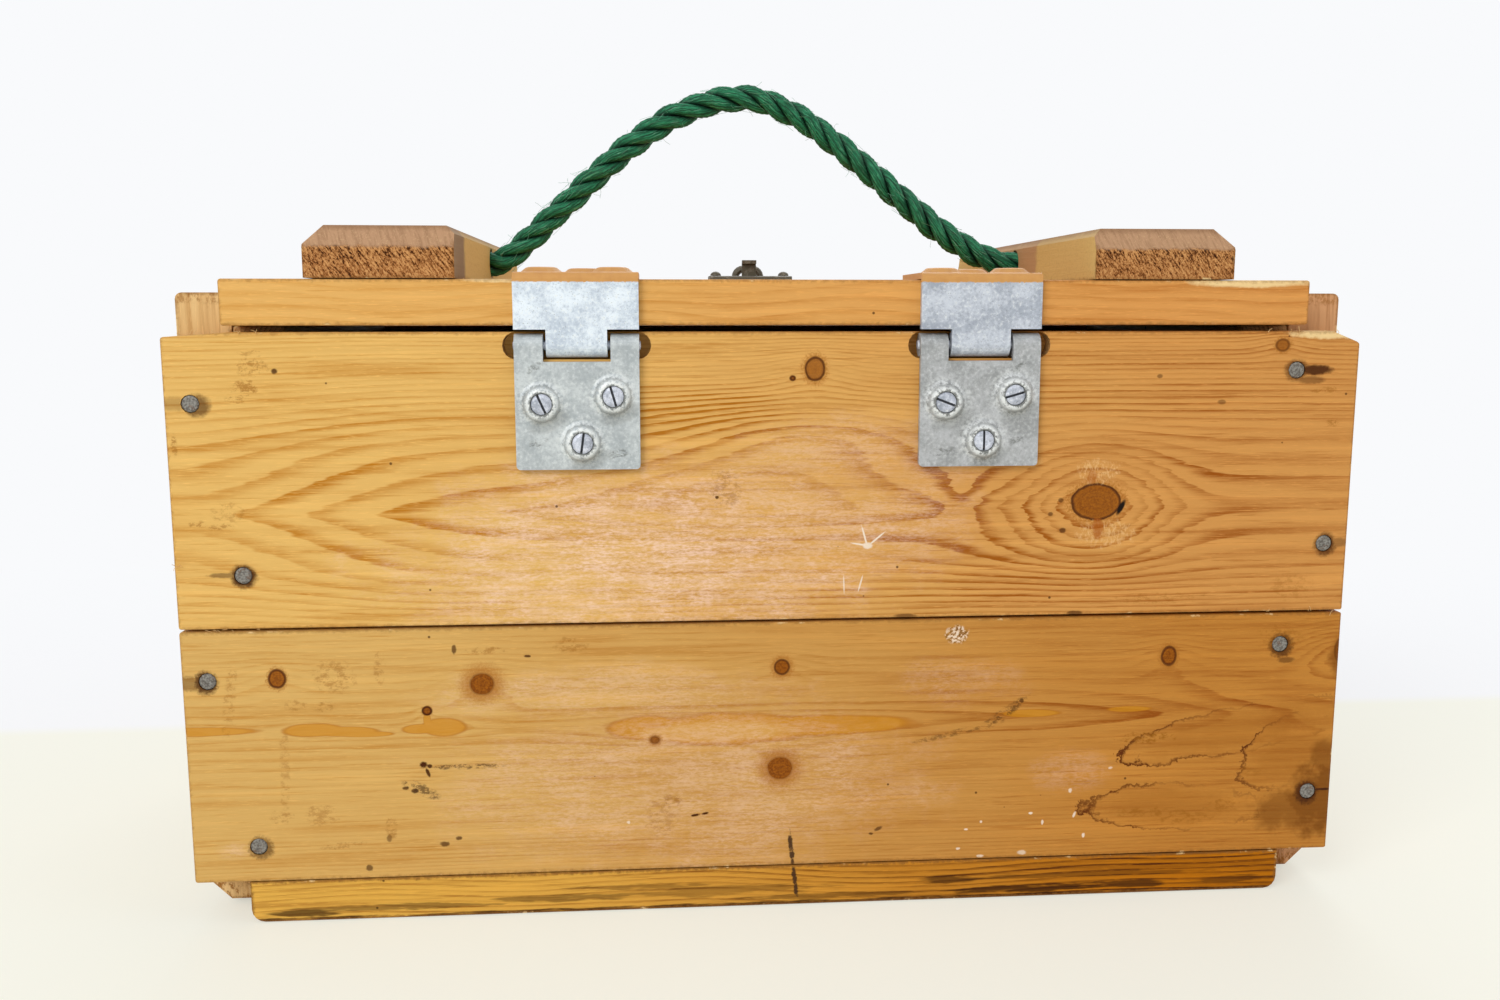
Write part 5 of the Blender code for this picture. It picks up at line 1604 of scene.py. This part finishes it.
# %% Broken filaments on the rope
STANDING_COUNT = 46
STANDING_ROOT = 0.42
STANDING_BEND = 0.35
LYING_COUNT = 220
LYING_ROOT = 0.47
LYING_BEND = 0.10
LYING_LIFT = 0.05
FUZZ_LENGTHS = (0.003, 0.007)
FUZZ_RADIUS = 0.00007
HIDDEN_STEPS = 34
HAIR_STEPS = 5
HAIR_SIDES = 3


def bent_line(draw, start, way, length, bend):
    """A short line from start that leaves one way and bends off at random."""
    points = [start]
    heading = way.normalized()
    for _ in range(HAIR_STEPS):
        heading = (heading + Vector([draw.uniform(-bend, bend) for _ in range(3)])).normalized()
        points.append(points[-1] + heading * (length / HAIR_STEPS))
    return points


def hairs(name, body, lines, radius):
    """Fine hairs in one mesh that rides on a body: a thin closed tube on each line."""
    bm = bmesh.new()
    for line in lines:
        rings = []
        for index, point in enumerate(line):
            tangent = tangent_at(line, index)
            side = tangent.orthogonal().normalized()
            rings.append(corner_ring(bm, point, side, tangent.cross(side), [radius] * HAIR_SIDES))
        skin_rings(bm, rings)
    piece = riding_piece(name, bm, body)
    piece.data.uv_layers.new(name="UVMap")
    return piece


def rope_spot(draw):
    """A random place on the rope between the battens: its point, the way along and a way out."""
    index = draw.randrange(HIDDEN_STEPS, len(rope_line) - HIDDEN_STEPS - 1)
    tangent = (rope_line[index + 1] - rope_line[index]).normalized()
    arm = Vector([draw.uniform(-1, 1) for _ in range(3)])
    return rope_line[index], tangent, (arm - tangent * arm.dot(tangent)).normalized()


fuzz_draw = random.Random(7)
fuzz_lines = []
for _ in range(STANDING_COUNT):
    point, tangent, arm = rope_spot(fuzz_draw)
    lean = arm + tangent * fuzz_draw.uniform(-1.5, 1.5)
    root = point + arm * (ROPE_DIAMETER * STANDING_ROOT)
    length = fuzz_draw.uniform(*FUZZ_LENGTHS)
    fuzz_lines.append(bent_line(fuzz_draw, root, lean, length, STANDING_BEND))
for _ in range(LYING_COUNT):
    point, tangent, arm = rope_spot(fuzz_draw)
    along = tangent * fuzz_draw.choice((-1, 1))
    across = tangent.cross(arm) * fuzz_draw.uniform(-0.5, 0.5)
    root = point + arm * (ROPE_DIAMETER * LYING_ROOT)
    length = fuzz_draw.uniform(*FUZZ_LENGTHS)
    fuzz_lines.append(bent_line(fuzz_draw, root, along + arm * LYING_LIFT + across, length, LYING_BEND))
rope_fuzz = hairs("rope_fuzz", "handle", fuzz_lines, FUZZ_RADIUS)
print(len(fuzz_lines), "broken filaments")

# %% [markdown]
# Sawn pine has splinters along its edges as well. They are the same kind of hair, straw coloured, in
# bunches where the photograph shows them: on the upper board's top and bottom edges near both ends, and
# on its left edge.

# %% Splinters on the hinge side
REAR_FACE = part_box("rear_upper_board")[0][1]
SPLINTER_DEPTH = 0.0003
SPLINTER_LENGTHS = (0.0016, 0.0036)
SPLINTER_RADIUS = 0.00011
SPLINTER_BEND = 0.5
SPLINTER_BUNCHES = [
    (-0.221, -0.186, 0.2255, (0.4, -0.3, 1.0), 9),
    (0.186, 0.216, 0.2250, (-0.4, -0.3, 1.0), 8),
    (-0.222, -0.196, 0.1158, (0.5, -0.8, 0.2), 7),
    (0.190, 0.222, 0.1158, (-0.5, -0.8, 0.2), 5),
    (-0.224, -0.222, 0.1400, (0.2, -1.0, 0.4), 4),
]
STRAW_PALE = rgb(240, 208, 150)
STRAW_DARK = rgb(196, 146, 80)

splinter_draw = random.Random(19)
splinter_lines = []
for low, high, level, way, count in SPLINTER_BUNCHES:
    for _ in range(count):
        root = Vector((splinter_draw.uniform(low, high), REAR_FACE + SPLINTER_DEPTH, level))
        length = splinter_draw.uniform(*SPLINTER_LENGTHS)
        splinter_lines.append(bent_line(splinter_draw, root, Vector(way), length, SPLINTER_BEND))
splinters = hairs("splinters", "box", splinter_lines, SPLINTER_RADIUS)
straw = Finish("straw")
straw_tone = noise(straw, millimetres(straw), 0.4, 2.0)
straw.surface(Base_Color=blend(straw_tone, STRAW_PALE, STRAW_DARK), Roughness=straw_tone * 0.2 + 0.5)
splinters.data.materials.append(straw.material)
print(len(splinter_lines), "splinters")

# %% [markdown]
# The rope's real length runs from knot to knot, along its line.

print(f"rope of {rope_length:.3f} m declared")

# %% [markdown]
# The strands are bundles of fine green filaments, with painted shade where two strands press on each other
# and between the yarns, and pale streaks along the filaments that are partly paler fibres and partly
# painted glints. The map that was laid along each tube gives the crests, the scallops of the yarns and the
# run of the filaments, and dust sits on it all. The broken filaments are paler, because light gets through
# them.

# %% Green filaments with dust
ROPE_LIGHT = rgb(40, 136, 94)
ROPE_GREEN = rgb(4, 74, 46)
ROPE_GROOVE_SHADE = rgb(2, 20, 12)
ROPE_PALE_FIBRE_AND_GLINT = rgb(140, 186, 160)
ROPE_DUST = rgb(92, 92, 70)
ROPE_SHINE = 0.25
FILAMENT_RUN = 1.1
FILAMENTS_ROUND = 30

green_rope = Finish("green_rope")
run, around, _ = split(green_rope, green_rope.node("ShaderNodeTexCoord").out("UV"))
place = millimetres(green_rope)
patch = noise(green_rope, place, 0.16, 3.0, 0.6)
turned = around + run / (YARN_LAY * MAP_SCALE) + (patch - 0.5) * 0.12
scallop = abs(turned.math("SINE", turned * (math.pi * YARNS)))
crest = abs(around - 0.5) * 2
threads = combine(green_rope, run * FILAMENT_RUN, turned * FILAMENTS_ROUND, 0.0)
filament = noise(green_rope, threads, 1.0, 4.0, 0.7)
dust = noise(green_rope, place, 0.09, 4.0, 0.75, shift=5.0)
colour = blend(step(filament, 0.40, 0.58), ROPE_GREEN, ROPE_LIGHT)
colour = blend(step(patch, 0.45, 0.65) * 0.5, colour, ROPE_GREEN)
# Pale streaks along the filaments: partly paler fibres, partly painted glints.
colour = blend(step(filament, 0.56, 0.70, 0.75), colour, ROPE_PALE_FIBRE_AND_GLINT)
colour = blend(step(dust, 0.56, 0.72) * step(filament, 0.4, 0.6, 0.4), colour, ROPE_DUST)
# Painted shade between the yarns and, darker, between the strands.
colour = blend(step(scallop, 0.50, 0.10, 0.60), colour, ROPE_GROOVE_SHADE)
colour = blend(step(crest, 0.70, 0.34), colour, ROPE_GROOVE_SHADE)
green_rope.surface(
    Base_Color=colour,
    Roughness=filament * 0.3 + 0.42,
    Specular_IOR_Level=ROPE_SHINE,
    Normal=bump(green_rope, filament, 0.7, 0.0005),
)
for piece in (rope, left_knot, right_knot):
    piece.data.materials.append(green_rope.material)
rope_hairs = Finish("rope_hairs")
fade = noise(rope_hairs, millimetres(rope_hairs), 0.2, 2.0)
rope_hairs.surface(Base_Color=blend(fade, ROPE_PALE_FIBRE_AND_GLINT, ROPE_LIGHT), Roughness=fade * 0.2 + 0.5)
rope_fuzz.data.materials.append(rope_hairs.material)
print("rope dressed")
